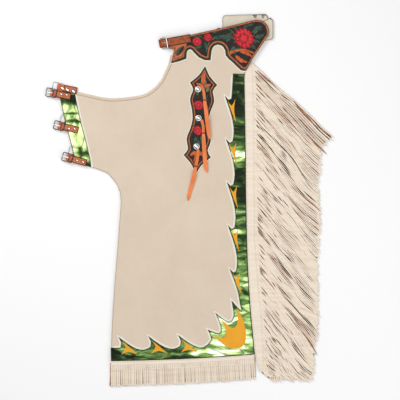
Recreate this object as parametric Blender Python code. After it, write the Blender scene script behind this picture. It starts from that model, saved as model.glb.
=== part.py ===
# Fringed leather chaps, folded in half at the front centre and laid flat on a surface.
# The upper leg lies face up with all its trim, and the lower leg is folded face down beneath it.
# Tables are in millimetres from the middle of the upper leg: across to the right, up towards the waist,
# and height off the surface.
import math
import random

import bmesh
import bpy
import numpy as np
from mathutils import Vector

MM = 0.001
GAP = 0.3

# Thicknesses and heights of the layers, from the surface upwards
LOWER_LEG_THICK = 4.0
LOWER_EDGE_BULGE = 0.8
PANEL_THICK = 2.2
SKIN_THICK = 0.6
TOOLED_THICK = 3.0
PATCH_THICK = 2.4
PANEL_LOW = LOWER_LEG_THICK + GAP
PANEL_TOP = PANEL_LOW + PANEL_THICK
EDGING_LOW = PANEL_TOP + GAP
SKIN_LOW = EDGING_LOW + SKIN_THICK + GAP
SKIN_TOP = SKIN_LOW + SKIN_THICK
ACCENT_LOW = SKIN_TOP + GAP
TOOLED_TOP = ACCENT_LOW + TOOLED_THICK
PATCH_TOP = ACCENT_LOW + PATCH_THICK

# The upper leg's outline, as the five edges that a cutter would mark
CROWN_EDGE = [
    # across, up
    (148.2, 403.0), (145.6, 424.0), (104.0, 434.0), (26.0, 421.2), (-41.6, 405.6), (-65.0, 388.0),
    (-75.4, 351.0), (-85.0, 329.0), (-96.2, 306.8), (-109.2, 291.2), (-124.8, 278.2), (-148.2, 266.5),
    (-189.8, 260.0), (-234.0, 257.4), (-273.0, 263.9), (-312.0, 273.0), (-340.0, 274.5), (-365.3, 271.7),
]
THIGH_EDGE = [(-365.3, 271.7), (-358.0, 236.0), (-348.4, 195.0), (-338.0, 156.0), (-323.7, 94.9)]
INSEAM_EDGE = [
    (-323.7, 94.9), (-278.2, 84.5), (-256.0, 76.5), (-239.2, 69.0), (-228.8, 57.2), (-215.8, 40.3),
    (-207.0, 18.0), (-205.4, -6.0), (-209.0, -55.0), (-213.2, -114.4), (-221.0, -208.0),
    (-226.2, -286.0), (-229.5, -350.0), (-231.4, -418.6),
]
HEM_EDGE = [(-231.4, -418.6), (-130.0, -416.0), (0.0, -410.8), (141.7, -400.9)]
OUTSEAM_EDGE = [
    (141.7, -400.9), (137.0, -345.0), (131.3, -286.0), (123.5, -156.0), (119.6, 0.0), (118.3, 130.0),
    (115.7, 286.0), (115.6, 327.6), (122.2, 348.4), (135.2, 374.4), (148.2, 403.0),
]
EDGE_STEP = 17.0
PANEL_CELL = 33.0

# Soft swells of the leather where it doesn't lie quite flat
SWELLS = [
    # across, up, half length, half width, turn in degrees, rise
    (-190.0, 168.0, 86.0, 44.0, 16.0, 2.4),
    (-105.0, 205.0, 85.0, 38.0, 72.0, 1.8),
    (-130.0, -20.0, 120.0, 52.0, 78.0, 2.4),
    (-22.0, -92.0, 96.0, 46.0, 92.0, 2.0),
    (32.0, 2.0, 76.0, 28.0, 88.0, 1.5),
    (-150.0, -215.0, 100.0, 46.0, 98.0, 1.8),
    (-40.0, -240.0, 90.0, 44.0, 80.0, 1.6),
]

# How far the lower leg's edge shows past the upper one along the thigh, and how far it stays back elsewhere
LOWER_SHOWS = 7.0
LOWER_BACK = 3.0
LOWER_THIGH_BACK = 22.0
LOWER_TOP = 375.0

# The metallic border on the outseam and hem, with an even row of flames
BORDER_TOP_UP = 334.0
BORDER_TOP_WIDTH = 31.0
BORDER_FOOT_WIDTH = 25.0
HEM_BORDER_HEIGHT = 27.0
EDGING_SHOWS = 5.0
SIDE_FLAMES = 5
SIDE_FLAME_PITCH = 112.0
SIDE_FLAME_START = 132.0
SIDE_FLAME_REACH = 21.0
HEM_FLAMES = 3
HEM_FLAME_PITCH = 78.0
HEM_FLAME_START = 132.0
HEM_FLAME_REACH = 36.0
FLAME_STEP = 12.0
FLAME = [
    # along one pitch, out of the band, turn
    (0.00, 0.00, "round"), (0.26, 0.12, "round"), (0.52, 0.46, "round"), (0.84, 1.00, "corner"),
    (0.74, 0.54, "round"), (0.77, 0.20, "round"),
]
FLAME_TONGUE = [
    # along one pitch, out of the band, turn
    (0.20, -0.34, "corner"), (0.46, 0.20, "round"), (0.74, 0.68, "corner"), (0.60, 0.20, "round"),
    (0.76, -0.30, "corner"), (0.50, -0.12, "round"),
]
CORNER_FLAME = [
    # left of the hem corner, above it, turn
    (112.0, 38.0, "round"), (122.0, 64.0, "corner"), (92.0, 54.0, "round"), (88.0, 72.0, "round"),
    (102.0, 108.0, "corner"), (68.0, 84.0, "round"), (54.0, 100.0, "round"), (60.0, 140.0, "corner"),
    (34.0, 112.0, "round"),
]
CORNER_TONGUES = [
    # left of the hem corner, above it, turn
    (108.0, 50.0, "corner"), (82.0, 42.0, "round"), (74.0, 62.0, "round"), (88.0, 92.0, "corner"),
    (58.0, 68.0, "round"), (44.0, 84.0, "round"), (46.0, 122.0, "corner"), (28.0, 84.0, "round"),
    (22.0, 44.0, "round"), (34.0, 18.0, "round"), (70.0, 18.0, "round"),
]

# The metallic band on the thigh end
THIGH_BAND_WIDTH = 41.0
THIGH_CROWN_BELOW = 300.0
THIGH_INSEAM_OVER = 60.0

# The tooled yoke: how far its dark underlay shows past each stretch of the edge
YOKE = [
    # across, up, turn, underlay shows
    (-87.1, 413.4, "corner", -1.0), (-26.0, 429.0, "round", -1.0), (26.0, 440.7, "round", -1.0),
    (78.0, 452.4, "round", -1.0), (130.0, 465.4, "round", -1.0), (148.2, 468.5, "round", -1.0),
    (162.5, 465.9, "round", -1.0), (172.9, 457.1, "round", -1.0), (178.6, 442.0, "round", -1.0),
    (178.1, 429.0, "round", -1.0), (171.6, 419.1, "round", -1.0), (156.0, 395.2, "round", -1.0),
    (137.8, 367.9, "round", -1.0), (123.5, 343.7, "round", 0.5), (117.8, 339.0, "round", 3.0),
    (109.2, 341.6, "round", 5.0), (98.8, 351.0, "round", 5.0), (88.4, 361.4, "round", 5.0),
    (78.0, 370.2, "round", 5.0), (71.8, 378.0, "round", 5.0), (70.2, 390.0, "round", 5.0),
    (65.0, 400.4, "round", 5.0), (57.2, 406.6, "round", 5.0), (46.8, 409.2, "round", 5.0),
    (36.4, 406.6, "round", 5.0), (28.6, 399.1, "round", 5.0), (25.5, 390.0, "round", 5.0),
    (22.9, 368.2, "corner", 5.0), (13.0, 368.7, "round", 5.0), (0.0, 374.9, "round", 5.0),
    (-10.4, 384.8, "round", 5.0), (-18.2, 394.2, "round", 5.0), (-26.0, 397.3, "round", 5.0),
    (-35.1, 393.4, "round", 5.0), (-39.5, 384.8, "round", 5.0), (-40.3, 371.0, "corner", 5.0),
    (-57.2, 365.0, "round", 5.0), (-73.8, 357.8, "corner", 1.5), (-70.7, 374.4, "round", -1.0),
    (-67.6, 392.6, "corner", -1.0), (-87.1, 394.7, "corner", -1.0),
]
YOKE_EDGING_MORE = 3.0

# The thigh patch: a cartouche that is the same on both sides of its long axis
PATCH_CENTRE = (1.0, 208.0)
PATCH_TILT = 5.0
PATCH_HALF = [
    # from the top tip, half width, turn
    (0.0, 0.0, "corner"), (20.0, 11.0, "round"), (40.0, 31.0, "corner"), (56.0, 22.0, "round"),
    (82.0, 28.0, "round"), (108.0, 21.0, "round"), (134.0, 17.0, "round"), (160.0, 21.0, "round"),
    (186.0, 28.0, "round"), (212.0, 22.0, "round"), (228.0, 31.0, "corner"), (248.0, 11.0, "round"),
    (268.0, 0.0, "corner"),
]
PATCH_LENGTH = 268.0
PATCH_UNDERLAY_SHOWS = 3.4
PATCH_EDGING_SHOWS = 6.2

# Domed conchos down the patch, and the ties that hang from them
CONCHO_PROFILE = [
    # radius, height
    (8.0, 0.0), (8.0, 1.0), (6.6, 1.6), (5.4, 3.2), (3.0, 4.6),
]
CONCHO_PEAK = 5.0
CONCHOS = [(-5.2, 288.0), (-3.9, 213.0), (-9.0, 139.0)]
TIE_THICK = 2.2
TIES = [
    # across, up, underside's height over the patch, width
    [(7.8, 301.0, 0.3, 7.0), (9.5, 281.0, 0.3, 9.0), (11.0, 262.0, 0.3, 9.5), (15.5, 232.0, 2.9, 10.5),
     (18.5, 207.0, 2.9, 11.0), (22.5, 176.0, 0.6, 10.0), (24.8, 158.0, 0.3, 2.0)],
    [(7.8, 210.0, 0.3, 7.0), (8.0, 192.0, 0.3, 9.0), (8.6, 178.0, 0.3, 9.0), (10.4, 143.0, 0.3, 11.0),
     (13.4, 98.0, 0.3, 11.0), (16.4, 72.0, -1.6, 2.0)],
    [(-3.0, 129.0, 0.3, 7.0), (-5.5, 115.0, 0.3, 9.0), (-8.6, 98.0, 0.3, 9.5), (-14.0, 68.0, 0.3, 11.0),
     (-19.0, 48.0, -2.6, 11.0), (-25.0, 26.0, -4.0, 11.0), (-31.5, -2.0, -4.0, 2.0)],
]

# The thigh straps, with a centre-bar buckle each
STRAP_WIDTH = 18.0
STRAP_ON_BAND = 31.0
STRAP_TO_BUCKLE = 20.0
STRAP_FAR = STRAP_TO_BUCKLE + STRAP_ON_BAND
STRAPS = [
    # across and up where the strap leaves the panel's edge, tilt in degrees
    (-366.5, 274.8, 11.0),
    (-346.3, 188.5, 13.0),
    (-325.0, 105.0, 16.0),
]
LOWER_BUCKLE_SHIFT = (16.5, 15.0)
BUCKLE_DROOP = 10.0
BEND_AT = 15.6
FRAME_LENGTH = 29.0
FRAME_HEIGHT = 23.8
BAR = 2.2
BAR_CLEAR = 1.8
PLY = 1.45
END_BAR_LIFT = 1.1
FRAME_CORNER = 3.0
PRONG_WIDTH = 3.0
PRONG_SLOT = 3.9
SLOT_MORE = 1.8
PRONG_REACH = 15.2
LOWER_BAR = 1.4
LOWER_PLY = 0.9
LOWER_BAR_CLEAR = 1.1
LOWER_SEEN_BAR = 3.2
LOWER_SEEN_RISE = 1.4
LOWER_STRAP_END = 17.0

# The waist billet and its buckle
BELT_WIDTH = 22.0
BELT_TILT = 10.3
BELT_START = (-106.6, 405.9)
BELT_THICK = 2.4
BELT_HOLE = 2.1
BELT_HOLES = (9.4, 31.7, 55.0)
BELT_OVER_YOKE = TOOLED_TOP + GAP + BELT_THICK / 2
BELT_PATH = [
    # along from the fold, height of the strap's middle
    (28.0, 1.5), (4.0, 1.5), (1.3, 3.4), (1.3, 6.4), (4.0, 9.2), (9.0, 11.4), (14.0, 12.8),
    (19.0, BELT_OVER_YOKE), (84.0, BELT_OVER_YOKE),
]
BELT_BAR = 2.0
BELT_FRAME_FROM = 3.2
BELT_FRAME_TO = 21.8
BELT_FRAME_HALF = 14.2
BELT_FRAME_LOW = 4.0
BELT_FRAME_HIGH = BELT_OVER_YOKE + BELT_THICK / 2 + GAP
BELT_PRONG = [
    # along from the fold, height of the prong's middle
    (8.4, 14.0), (14.0, 16.2), (20.8, 18.1), (23.2, 18.3),
]
BELT_PRONG_THICK = 1.6

# The fringe
STRANDS_SIDE = 128
STRANDS_HEM = 64
STRANDS_LOWER_SIDE = 44
STRANDS_LOWER_HEM = 10
SIDE_STRAND_WIDTH = 3.3
HEM_STRAND_WIDTH = 5.0
STRAND_THICK = 2.2
ROOT_SHARE = 0.84
STRAND_START = 12.0
UPPER_TIP_LOW = 3.1
HEM_TIP_LOW = 0.8
LOWER_TIP_LOW = 0.5
SIDE_FRINGE = [
    # up at the root, across at the root, slope below level in degrees, across at the tip
    (358.8, 132.6, 41.8, 351.0), (343.2, 135.5, 44.0, 338.0), (322.4, 137.5, 46.0, 317.0),
    (260.0, 139.1, 48.0, 312.0), (130.0, 140.5, 49.5, 309.4), (-104.0, 143.0, 50.0, 306.8),
    (-208.0, 150.8, 51.0, 305.0), (-286.0, 158.6, 51.5, 302.0), (-390.0, 165.1, 52.5, 292.0),
    (-447.2, 164.5, 54.0, 278.2),
]
SIDE_FRINGE_FOOT = -473.2
SIDE_STRIP_TAIL = [(143.0, -402.0), (152.0, -440.0), (156.0, -454.0)]
HEM_STRIP = 12.0
HEM_STRAND_LENGTH = 53.0
LOWER_HEM_FROM = (-232.0, -186.0)

# The lower leg's cream belt strap and its keeper, behind the yoke
LOWER_BELT = [(58.5, 395.0), (58.5, 474.0), (64.0, 480.0), (171.0, 483.5), (176.8, 476.0), (176.8, 420.0)]
LOWER_BELT_HOLES = [(144.3, 475.8), (163.8, 475.8)]
LOWER_BELT_THICK = 4.0
LOWER_TAB = [(160.0, 412.0), (187.0, 418.0), (190.0, 424.0), (190.0, 466.0), (184.0, 474.0), (160.0, 462.0)]
LOWER_TAB_THICK = 2.2

LEATHER = (0.74, 0.62, 0.50, 1.0)
FRINGE_CREAM = (0.76, 0.66, 0.55, 1.0)
PALE_EDGE = (0.85, 0.82, 0.74, 1.0)
GREEN_FOIL = (0.10, 0.22, 0.06, 1.0)
ORANGE = (0.86, 0.38, 0.03, 1.0)
TAN = (0.44, 0.17, 0.09, 1.0)
DARK_GREEN = (0.02, 0.05, 0.03, 1.0)
TIE_ORANGE = (0.72, 0.24, 0.08, 1.0)
NICKEL = (0.62, 0.61, 0.58, 1.0)

for old in list(bpy.data.objects):
    bpy.data.objects.remove(old, do_unlink=True)

chaps = bpy.data.objects.new("chaps", None)
bpy.context.collection.objects.link(chaps)


def finish(name, colour, roughness, metallic=0.0):
    """The plain surface of one kind of piece."""
    material = bpy.data.materials.get(name) or bpy.data.materials.new(name)
    material.use_nodes = True
    shader = material.node_tree.nodes["Principled BSDF"]
    shader.inputs["Base Color"].default_value = colour
    shader.inputs["Roughness"].default_value = roughness
    shader.inputs["Metallic"].default_value = metallic
    return material


LEATHER_FINISH = finish("suede_leather", LEATHER, 0.8)
FRINGE_FINISH = finish("fringe_leather", FRINGE_CREAM, 0.8)
PALE_FINISH = finish("pale_edging", PALE_EDGE, 0.6)
FOIL_FINISH = finish("green_foil", GREEN_FOIL, 0.25, 0.8)
ORANGE_FINISH = finish("orange_leather", ORANGE, 0.5)
TOOLED_FINISH = finish("tooled_leather", TAN, 0.5)
DARK_FINISH = finish("dark_underlay", DARK_GREEN, 0.5)
TIE_FINISH = finish("tie_leather", TIE_ORANGE, 0.55)
NICKEL_FINISH = finish("nickel", NICKEL, 0.25, 1.0)


def bend(before, start, end, after, share):
    """A point on the Catmull-Rom curve between start and end."""
    p, a, b, n = (np.array(q, float) for q in (before, start, end, after))
    s2, s3 = share * share, share ** 3
    return 0.5 * (2 * a + (b - p) * share + (2 * p - 5 * a + 4 * b - n) * s2 + (3 * a - p - 3 * b + n) * s3)


def curve(points, step):
    """An open smooth curve through the points, with a point about every step."""
    ends = [points[0], *points, points[-1]]
    line = []
    for i in range(len(points) - 1):
        length = math.dist(points[i][:2], points[i + 1][:2])
        count = max(1, round(length / step))
        line += [tuple(bend(*ends[i:i + 4], k / count)) for k in range(count)]
    return line + [tuple(float(v) for v in points[-1])]


def closed_curve(rows, step):
    """A closed outline through rows of (values..., turn), smooth but for the rows whose turn is corner."""
    first = next(i for i, row in enumerate(rows) if row[-1] == "corner")
    rows = rows[first:] + rows[:first + 1]
    line, run = [], [rows[0][:-1]]
    for row in rows[1:]:
        run.append(row[:-1])
        if row[-1] == "corner":
            line += curve(run, step)[:-1]
            run = [row[:-1]]
    return line


def area(outline):
    x, y = np.array(outline)[:, 0], np.array(outline)[:, 1]
    return 0.5 * float(np.sum(x * np.roll(y, -1) - np.roll(x, -1) * y))


def distance_to(point, outline):
    """How far a point is from a closed outline."""
    a = np.array(outline, float)
    b = np.roll(a, -1, axis=0)
    ab = b - a
    share = np.clip(np.sum((point - a) * ab, axis=1) / np.maximum(np.sum(ab * ab, axis=1), 1e-9), 0, 1)
    return float(np.min(np.linalg.norm(a + ab * share[:, None] - point, axis=1)))


def moved_out(outline, distances):
    """A closed outline moved out by a distance, or by one distance for each of its points."""
    p = np.array(outline, float)[:, :2]
    if area(p) < 0:
        p = p[::-1]
        distances = distances[::-1] if np.ndim(distances) else distances
    d = np.broadcast_to(np.array(distances, float), len(p))
    along_in = p - np.roll(p, 1, axis=0)
    along_out = np.roll(p, -1, axis=0) - p
    normals = []
    for edge in (along_in, along_out):
        unit = edge / np.maximum(np.linalg.norm(edge, axis=1), 1e-9)[:, None]
        normals.append(np.stack([unit[:, 1], -unit[:, 0]], axis=1))
    middle = normals[0] + normals[1]
    middle /= np.maximum(np.linalg.norm(middle, axis=1), 0.5)[:, None]
    mitre = 1 / np.maximum(np.sum(middle * normals[0], axis=1), 0.55)
    shifted = p + middle * (d * mitre)[:, None]
    return [tuple(q) for q, far in zip(shifted, d) if distance_to(q, p) >= abs(far) * 0.9 - 0.02]


def sheet_faces(outline, holes=(), cell=0.0):
    """The flat faces that fill an outline, cut into cells where cell is given, as points and index lists."""
    mesh = bmesh.new()
    edges = []
    for loop in (outline, *holes):
        corners = [mesh.verts.new((x, y, 0.0)) for x, y in loop]
        edges += [mesh.edges.new((corners[i - 1], corners[i])) for i in range(len(corners))]
        if not holes:
            mesh.faces.new(corners)
    if holes:
        bmesh.ops.triangle_fill(mesh, use_beauty=True, use_dissolve=False, edges=edges, normal=(0, 0, 1))
    if cell:
        xs, ys = zip(*outline)
        for axis, low, high in ((0, min(xs), max(xs)), (1, min(ys), max(ys))):
            count = math.ceil((high - low) / cell)
            for k in range(1, count):
                spot = [0.0, 0.0, 0.0]
                spot[axis] = low + (high - low) * k / count
                side = (1, 0, 0) if axis == 0 else (0, 1, 0)
                geometry = mesh.verts[:] + mesh.edges[:] + mesh.faces[:]
                bmesh.ops.bisect_plane(mesh, geom=geometry, dist=0.01, plane_co=spot, plane_no=side)
    mesh.normal_update()
    mesh.verts.index_update()
    points = [(v.co.x, v.co.y) for v in mesh.verts]
    faces = []
    for face in mesh.faces:
        ring = [v.index for v in face.verts]
        faces.append(ring if face.normal.z > 0 else ring[::-1])
    mesh.free()
    return points, faces


def solid(name, points, faces, material, smooth=False):
    """An object made of points in millimetres and faces, with its faces turned outwards."""
    mesh = bpy.data.meshes.new(name)
    mesh.from_pydata([tuple(MM * c for c in p) for p in points], [], faces)
    shape = bmesh.new()
    shape.from_mesh(mesh)
    bmesh.ops.recalc_face_normals(shape, faces=shape.faces[:])
    shape.to_mesh(mesh)
    shape.free()
    if smooth:
        mesh.shade_smooth()
        mesh.set_sharp_from_angle(angle=math.radians(40))
    mesh.materials.append(material)
    piece = bpy.data.objects.new(name, mesh)
    bpy.context.collection.objects.link(piece)
    piece.parent = chaps
    return piece


def level(height):
    return lambda x, y: height


def plate(name, outline, low, high, material, holes=(), cell=0.0, bulge=0.0):
    """A wall between two heights over an outline; low and high are functions of the place."""
    flat, top_faces = sheet_faces(outline, holes, cell)
    count = len(flat)
    points = [(x, y, high(x, y)) for x, y in flat] + [(x, y, low(x, y)) for x, y in flat]
    faces = [*top_faces] + [[count + i for i in reversed(ring)] for ring in top_faces]
    sides = {side for ring in top_faces for side in zip(ring, ring[1:] + ring[:1])}
    rim = sorted((a, b) for a, b in sides if (b, a) not in sides)
    if not bulge:
        faces += [[b, a, count + a, count + b] for a, b in rim]
        return solid(name, points, faces, material)
    after = dict(rim)
    before = {b: a for a, b in rim}
    middle = {}
    for a in after:
        (px, py), (qx, qy) = flat[before[a]], flat[after[a]]
        run = math.hypot(qx - px, qy - py)
        middle[a] = len(points)
        x, y = flat[a]
        spot = (x + bulge * (qy - py) / run, y - bulge * (qx - px) / run, (low(x, y) + high(x, y)) / 2)
        points.append(spot)
    for a, b in rim:
        faces.append([b, a, middle[a], middle[b]])
        faces.append([middle[b], middle[a], count + a, count + b])
    return solid(name, points, faces, material)


# The edges as curves, and the height of the upper leg's underside over the lower one
crown = curve(CROWN_EDGE, EDGE_STEP)
thigh_end = curve(THIGH_EDGE, EDGE_STEP)
inseam = curve(INSEAM_EDGE, EDGE_STEP)
hem = curve(HEM_EDGE, EDGE_STEP)
outseam = curve(OUTSEAM_EDGE, EDGE_STEP)
leg_outline = crown[:-1] + thigh_end[:-1] + inseam[:-1] + hem[:-1] + outseam[:-1]


def swell(x, y):
    """How high the leather stands off the layer beneath it."""
    rise = 0.0
    for across, up, half_length, half_width, turn, height in SWELLS:
        c, s = math.cos(math.radians(turn)), math.sin(math.radians(turn))
        along = ((x - across) * c + (y - up) * s) / half_length
        aside = ((y - up) * c - (x - across) * s) / half_width
        if abs(along) < 1 and abs(aside) < 1:
            rise += height * (math.cos(along * math.pi / 2) * math.cos(aside * math.pi / 2)) ** 2
    return rise


def across_at(line, up):
    """Where a line that runs up the leg is, at one height on the leg."""
    ups = [p[1] for p in line]
    return float(np.interp(up, ups, [p[0] for p in line]))


# Upper leg panel
plate("leg_panel", leg_outline, lambda x, y: PANEL_LOW + swell(x, y), lambda x, y: PANEL_TOP + swell(x, y),
      LEATHER_FINISH, cell=PANEL_CELL)

# Lower leg, folded face down, with its own trim inside one rounded layer
lower_rows = []
for line, shows in ((crown[8:], LOWER_SHOWS), (inseam, -LOWER_BACK), (hem, -LOWER_BACK), (outseam, -LOWER_BACK)):
    lower_rows += [(x, y, shows) for x, y in line[:-1]]
lower_rows = [row for row in lower_rows if row[1] < LOWER_TOP]
lower_rows = [row for row in lower_rows if row[0] > across_at(thigh_end[::-1], row[1]) + LOWER_THIGH_BACK]
lower_outline = moved_out([row[:2] for row in lower_rows], [row[2] for row in lower_rows])
plate("lower_leg", lower_outline, level(0.0), level(LOWER_LEG_THICK), LEATHER_FINISH, bulge=LOWER_EDGE_BULGE)


class Path:
    """A line with places on it: a point at a length along it, moved out to its left."""

    def __init__(self, line):
        self.line = np.array(line, float)
        steps = np.linalg.norm(np.diff(self.line, axis=0), axis=1)
        self.along = np.concatenate([[0.0], np.cumsum(steps)])
        self.length = float(self.along[-1])

    def at(self, along, out=0.0):
        here = np.array([np.interp(along, self.along, self.line[:, k]) for k in (0, 1)])
        ahead = np.array([np.interp(along + 2.0, self.along, self.line[:, k]) for k in (0, 1)])
        behind = np.array([np.interp(along - 2.0, self.along, self.line[:, k]) for k in (0, 1)])
        run = (ahead - behind) / np.linalg.norm(ahead - behind)
        return tuple(here + out * np.array([-run[1], run[0]]))


# Border with flames along the outseam and the hem
border_side = [p for p in outseam if p[1] < BORDER_TOP_UP]
side_path = Path(border_side)
hem_path = Path(hem[::-1])
corner_x, corner_y = HEM_EDGE[-1]


def side_width(along):
    share = along / side_path.length
    return BORDER_FOOT_WIDTH + (BORDER_TOP_WIDTH - BORDER_FOOT_WIDTH) * share


def flame_rows(table, count, start, pitch, place):
    """The rows of a repeated shape, placed along an edge."""
    return [[(*place(start + (k + along) * pitch, out), turn) for along, out, turn in table] for k in range(count)]


def on_side(along, out):
    return side_path.at(along, side_width(along) + out * SIDE_FLAME_REACH)


def on_hem(along, out):
    return hem_path.at(along, -(HEM_BORDER_HEIGHT + out * HEM_FLAME_REACH))


side_flames = flame_rows(FLAME, SIDE_FLAMES, SIDE_FLAME_START, SIDE_FLAME_PITCH, on_side)
hem_flames = flame_rows(FLAME, HEM_FLAMES, HEM_FLAME_START, HEM_FLAME_PITCH, on_hem)
inner_rows = [(*hem_path.at(hem_path.length, -HEM_BORDER_HEIGHT - 8.0), "corner")]
for flame in reversed(hem_flames):
    inner_rows += flame[::-1]
inner_rows += [(corner_x - left, corner_y + above, turn) for left, above, turn in CORNER_FLAME]
for flame in side_flames:
    inner_rows += flame
inner_rows += [(*side_path.at(side_path.length, BORDER_TOP_WIDTH - 1.0), "corner")]
inner_line = []
run = [inner_rows[0][:2]]
for row in inner_rows[1:]:
    run.append(row[:2])
    if row[2] == "corner":
        inner_line += curve(run, FLAME_STEP)[:-1]
        run = [row[:2]]
inner_line.append(inner_rows[-1][:2])
border_outline = hem + border_side[1:] + inner_line[::-1]
edging_shift = [0.0] * (len(hem) + len(border_side) - 1) + [EDGING_SHOWS] * len(inner_line)
edging_shift[len(hem) + len(border_side) - 2] = 0.0
edging_shift[len(hem) + len(border_side) - 1] = 0.0
edging_shift[-1] = 0.0
plate("border_edging", moved_out(border_outline, edging_shift), level(EDGING_LOW), level(EDGING_LOW + SKIN_THICK),
      PALE_FINISH)
plate("border_green", border_outline, level(SKIN_LOW), level(SKIN_TOP), FOIL_FINISH)

side_tongues = flame_rows(FLAME_TONGUE, SIDE_FLAMES, SIDE_FLAME_START, SIDE_FLAME_PITCH, on_side)
hem_tongues = flame_rows(FLAME_TONGUE, HEM_FLAMES, HEM_FLAME_START, HEM_FLAME_PITCH, on_hem)
corner_tongue = [(corner_x - left, corner_y + above, turn) for left, above, turn in CORNER_TONGUES]
tongues = {f"side_tongue_{k + 1}": rows for k, rows in enumerate(side_tongues)}
tongues.update({f"hem_tongue_{k + 1}": rows for k, rows in enumerate(hem_tongues)})
tongues["corner_tongues"] = corner_tongue
for name, rows in tongues.items():
    plate(name, closed_curve(rows, 8.0), level(ACCENT_LOW), level(ACCENT_LOW + SKIN_THICK), ORANGE_FINISH)

# Band on the thigh end, with its pale edging
thigh_crown = sorted(p for p in crown if p[1] < THIGH_CROWN_BELOW)
thigh_inseam = sorted(p for p in inseam if p[1] > THIGH_INSEAM_OVER)


def thigh_strip(width):
    """The panel's thigh end, this wide."""
    inner = [(x + width, y) for x, y in thigh_end[::-1]]
    for end, edge in ((-1, thigh_crown), (0, thigh_inseam)):
        x = inner[end][0]
        inner[end] = (x, float(np.interp(x, [p[0] for p in edge], [p[1] for p in edge])))
    top = [p for p in thigh_crown[::-1] if thigh_end[0][0] < p[0] < inner[-1][0] - 1.0]
    foot = [p for p in thigh_inseam if thigh_end[-1][0] < p[0] < inner[0][0] - 1.0]
    return top + thigh_end + foot + inner


plate("thigh_band_edging", thigh_strip(THIGH_BAND_WIDTH + EDGING_SHOWS), level(EDGING_LOW),
      level(EDGING_LOW + SKIN_THICK), PALE_FINISH)
plate("thigh_band", thigh_strip(THIGH_BAND_WIDTH), level(SKIN_LOW), level(SKIN_TOP), FOIL_FINISH)

# Yoke: edging, dark underlay and tooled leather
yoke_rows = closed_curve([(x, y, shows, turn) for x, y, turn, shows in YOKE], 10.0)
yoke_outline = [row[:2] for row in yoke_rows]
underlay_out = [row[2] for row in yoke_rows]
edging_out = [out + YOKE_EDGING_MORE if out > 0.5 else out - 1.0 for out in underlay_out]
plate("yoke_edging", moved_out(yoke_outline, edging_out), level(EDGING_LOW), level(EDGING_LOW + SKIN_THICK),
      PALE_FINISH)
plate("yoke_underlay", moved_out(yoke_outline, underlay_out), level(SKIN_LOW), level(SKIN_TOP), DARK_FINISH)
plate("yoke_tooled", yoke_outline, level(ACCENT_LOW), level(TOOLED_TOP), TOOLED_FINISH)

# Thigh patch: the same three layers
patch_rows = [(half, -down, turn) for down, half, turn in PATCH_HALF]
patch_rows += [(-half, -down, turn) for down, half, turn in PATCH_HALF[-2:0:-1]]
tilt = math.radians(-PATCH_TILT)
patch_outline = []
for x, y in closed_curve(patch_rows, 8.0):
    y += PATCH_LENGTH / 2
    spot = (x * math.cos(tilt) - y * math.sin(tilt), x * math.sin(tilt) + y * math.cos(tilt))
    patch_outline.append((PATCH_CENTRE[0] + spot[0], PATCH_CENTRE[1] + spot[1]))
plate("patch_edging", moved_out(patch_outline, PATCH_EDGING_SHOWS), level(EDGING_LOW),
      level(EDGING_LOW + SKIN_THICK), PALE_FINISH)
plate("patch_underlay", moved_out(patch_outline, PATCH_UNDERLAY_SHOWS), level(SKIN_LOW), level(SKIN_TOP),
      DARK_FINISH)
plate("patch_tooled", patch_outline, level(ACCENT_LOW), level(PATCH_TOP), TOOLED_FINISH)


def turned(name, profile, peak, place, material, sides=18):
    """A round piece turned from a profile of radius and height, closed by a point at the top."""
    points = []
    for radius, height in profile:
        for k in range(sides):
            turn = 2 * math.pi * k / sides
            points.append((radius * math.cos(turn), radius * math.sin(turn), height))
    faces = [list(range(sides))[::-1]]
    for ring in range(len(profile) - 1):
        for k in range(sides):
            a, b = ring * sides + k, ring * sides + (k + 1) % sides
            faces.append([a, b, b + sides, a + sides])
    points.append((0.0, 0.0, peak))
    last = (len(profile) - 1) * sides
    faces += [[last + k, last + (k + 1) % sides, len(points) - 1] for k in range(sides)]
    piece = solid(name, points, faces, material, smooth=True)
    piece.location = [MM * c for c in place]
    return piece


for k, (x, y) in enumerate(CONCHOS):
    turned(f"concho_{k + 1}", CONCHO_PROFILE, CONCHO_PEAK, (x, y, PATCH_TOP + GAP), NICKEL_FINISH)


def swept(sections):
    """The faces that join rings of four points, closed at both ends."""
    faces = [[0, 1, 2, 3]]
    for k in range(len(sections) - 1):
        for side in range(4):
            a, b = 4 * k + side, 4 * k + (side + 1) % 4
            faces.append([a, b, b + 4, a + 4])
    last = 4 * (len(sections) - 1)
    faces.append([last + 3, last + 2, last + 1, last])
    return faces


def ring_of_four(x, y, run, width, low, high):
    """Four points round a flat strip that runs along a direction."""
    side = (-run[1] * width / 2, run[0] * width / 2)
    return [(x - side[0], y - side[1], low), (x + side[0], y + side[1], low),
            (x + side[0], y + side[1], high), (x - side[0], y - side[1], high)]


for k, rows in enumerate(TIES):
    sections = []
    for i, (x, y, low, width) in enumerate(rows):
        (ax, ay), (bx, by) = rows[max(i - 1, 0)][:2], rows[min(i + 1, len(rows) - 1)][:2]
        run = ((bx - ax) / math.dist((ax, ay), (bx, by)), (by - ay) / math.dist((ax, ay), (bx, by)))
        bottom = PATCH_TOP + low
        sections.append(ring_of_four(x, y, run, width, bottom, bottom + TIE_THICK))
    solid(f"tie_{k + 1}", [p for section in sections for p in section], swept(sections), TIE_FINISH)


def arc(radius, start, end, count):
    """Points on a circle about the origin, from one angle to another in degrees."""
    angles = [math.radians(start + (end - start) * k / count) for k in range(count + 1)]
    return [(radius * math.cos(a), radius * math.sin(a)) for a in angles]


def upright(name, profile, holes, width, place, tilt_deg, material):
    """A profile drawn along and up, made this wide and set on edge at a place."""
    piece = plate(name, profile, level(-width / 2), level(width / 2), material, holes=holes)
    piece.location = [MM * c for c in place]
    piece.rotation_euler = (math.radians(90), 0.0, math.radians(tilt_deg))
    return piece


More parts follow.
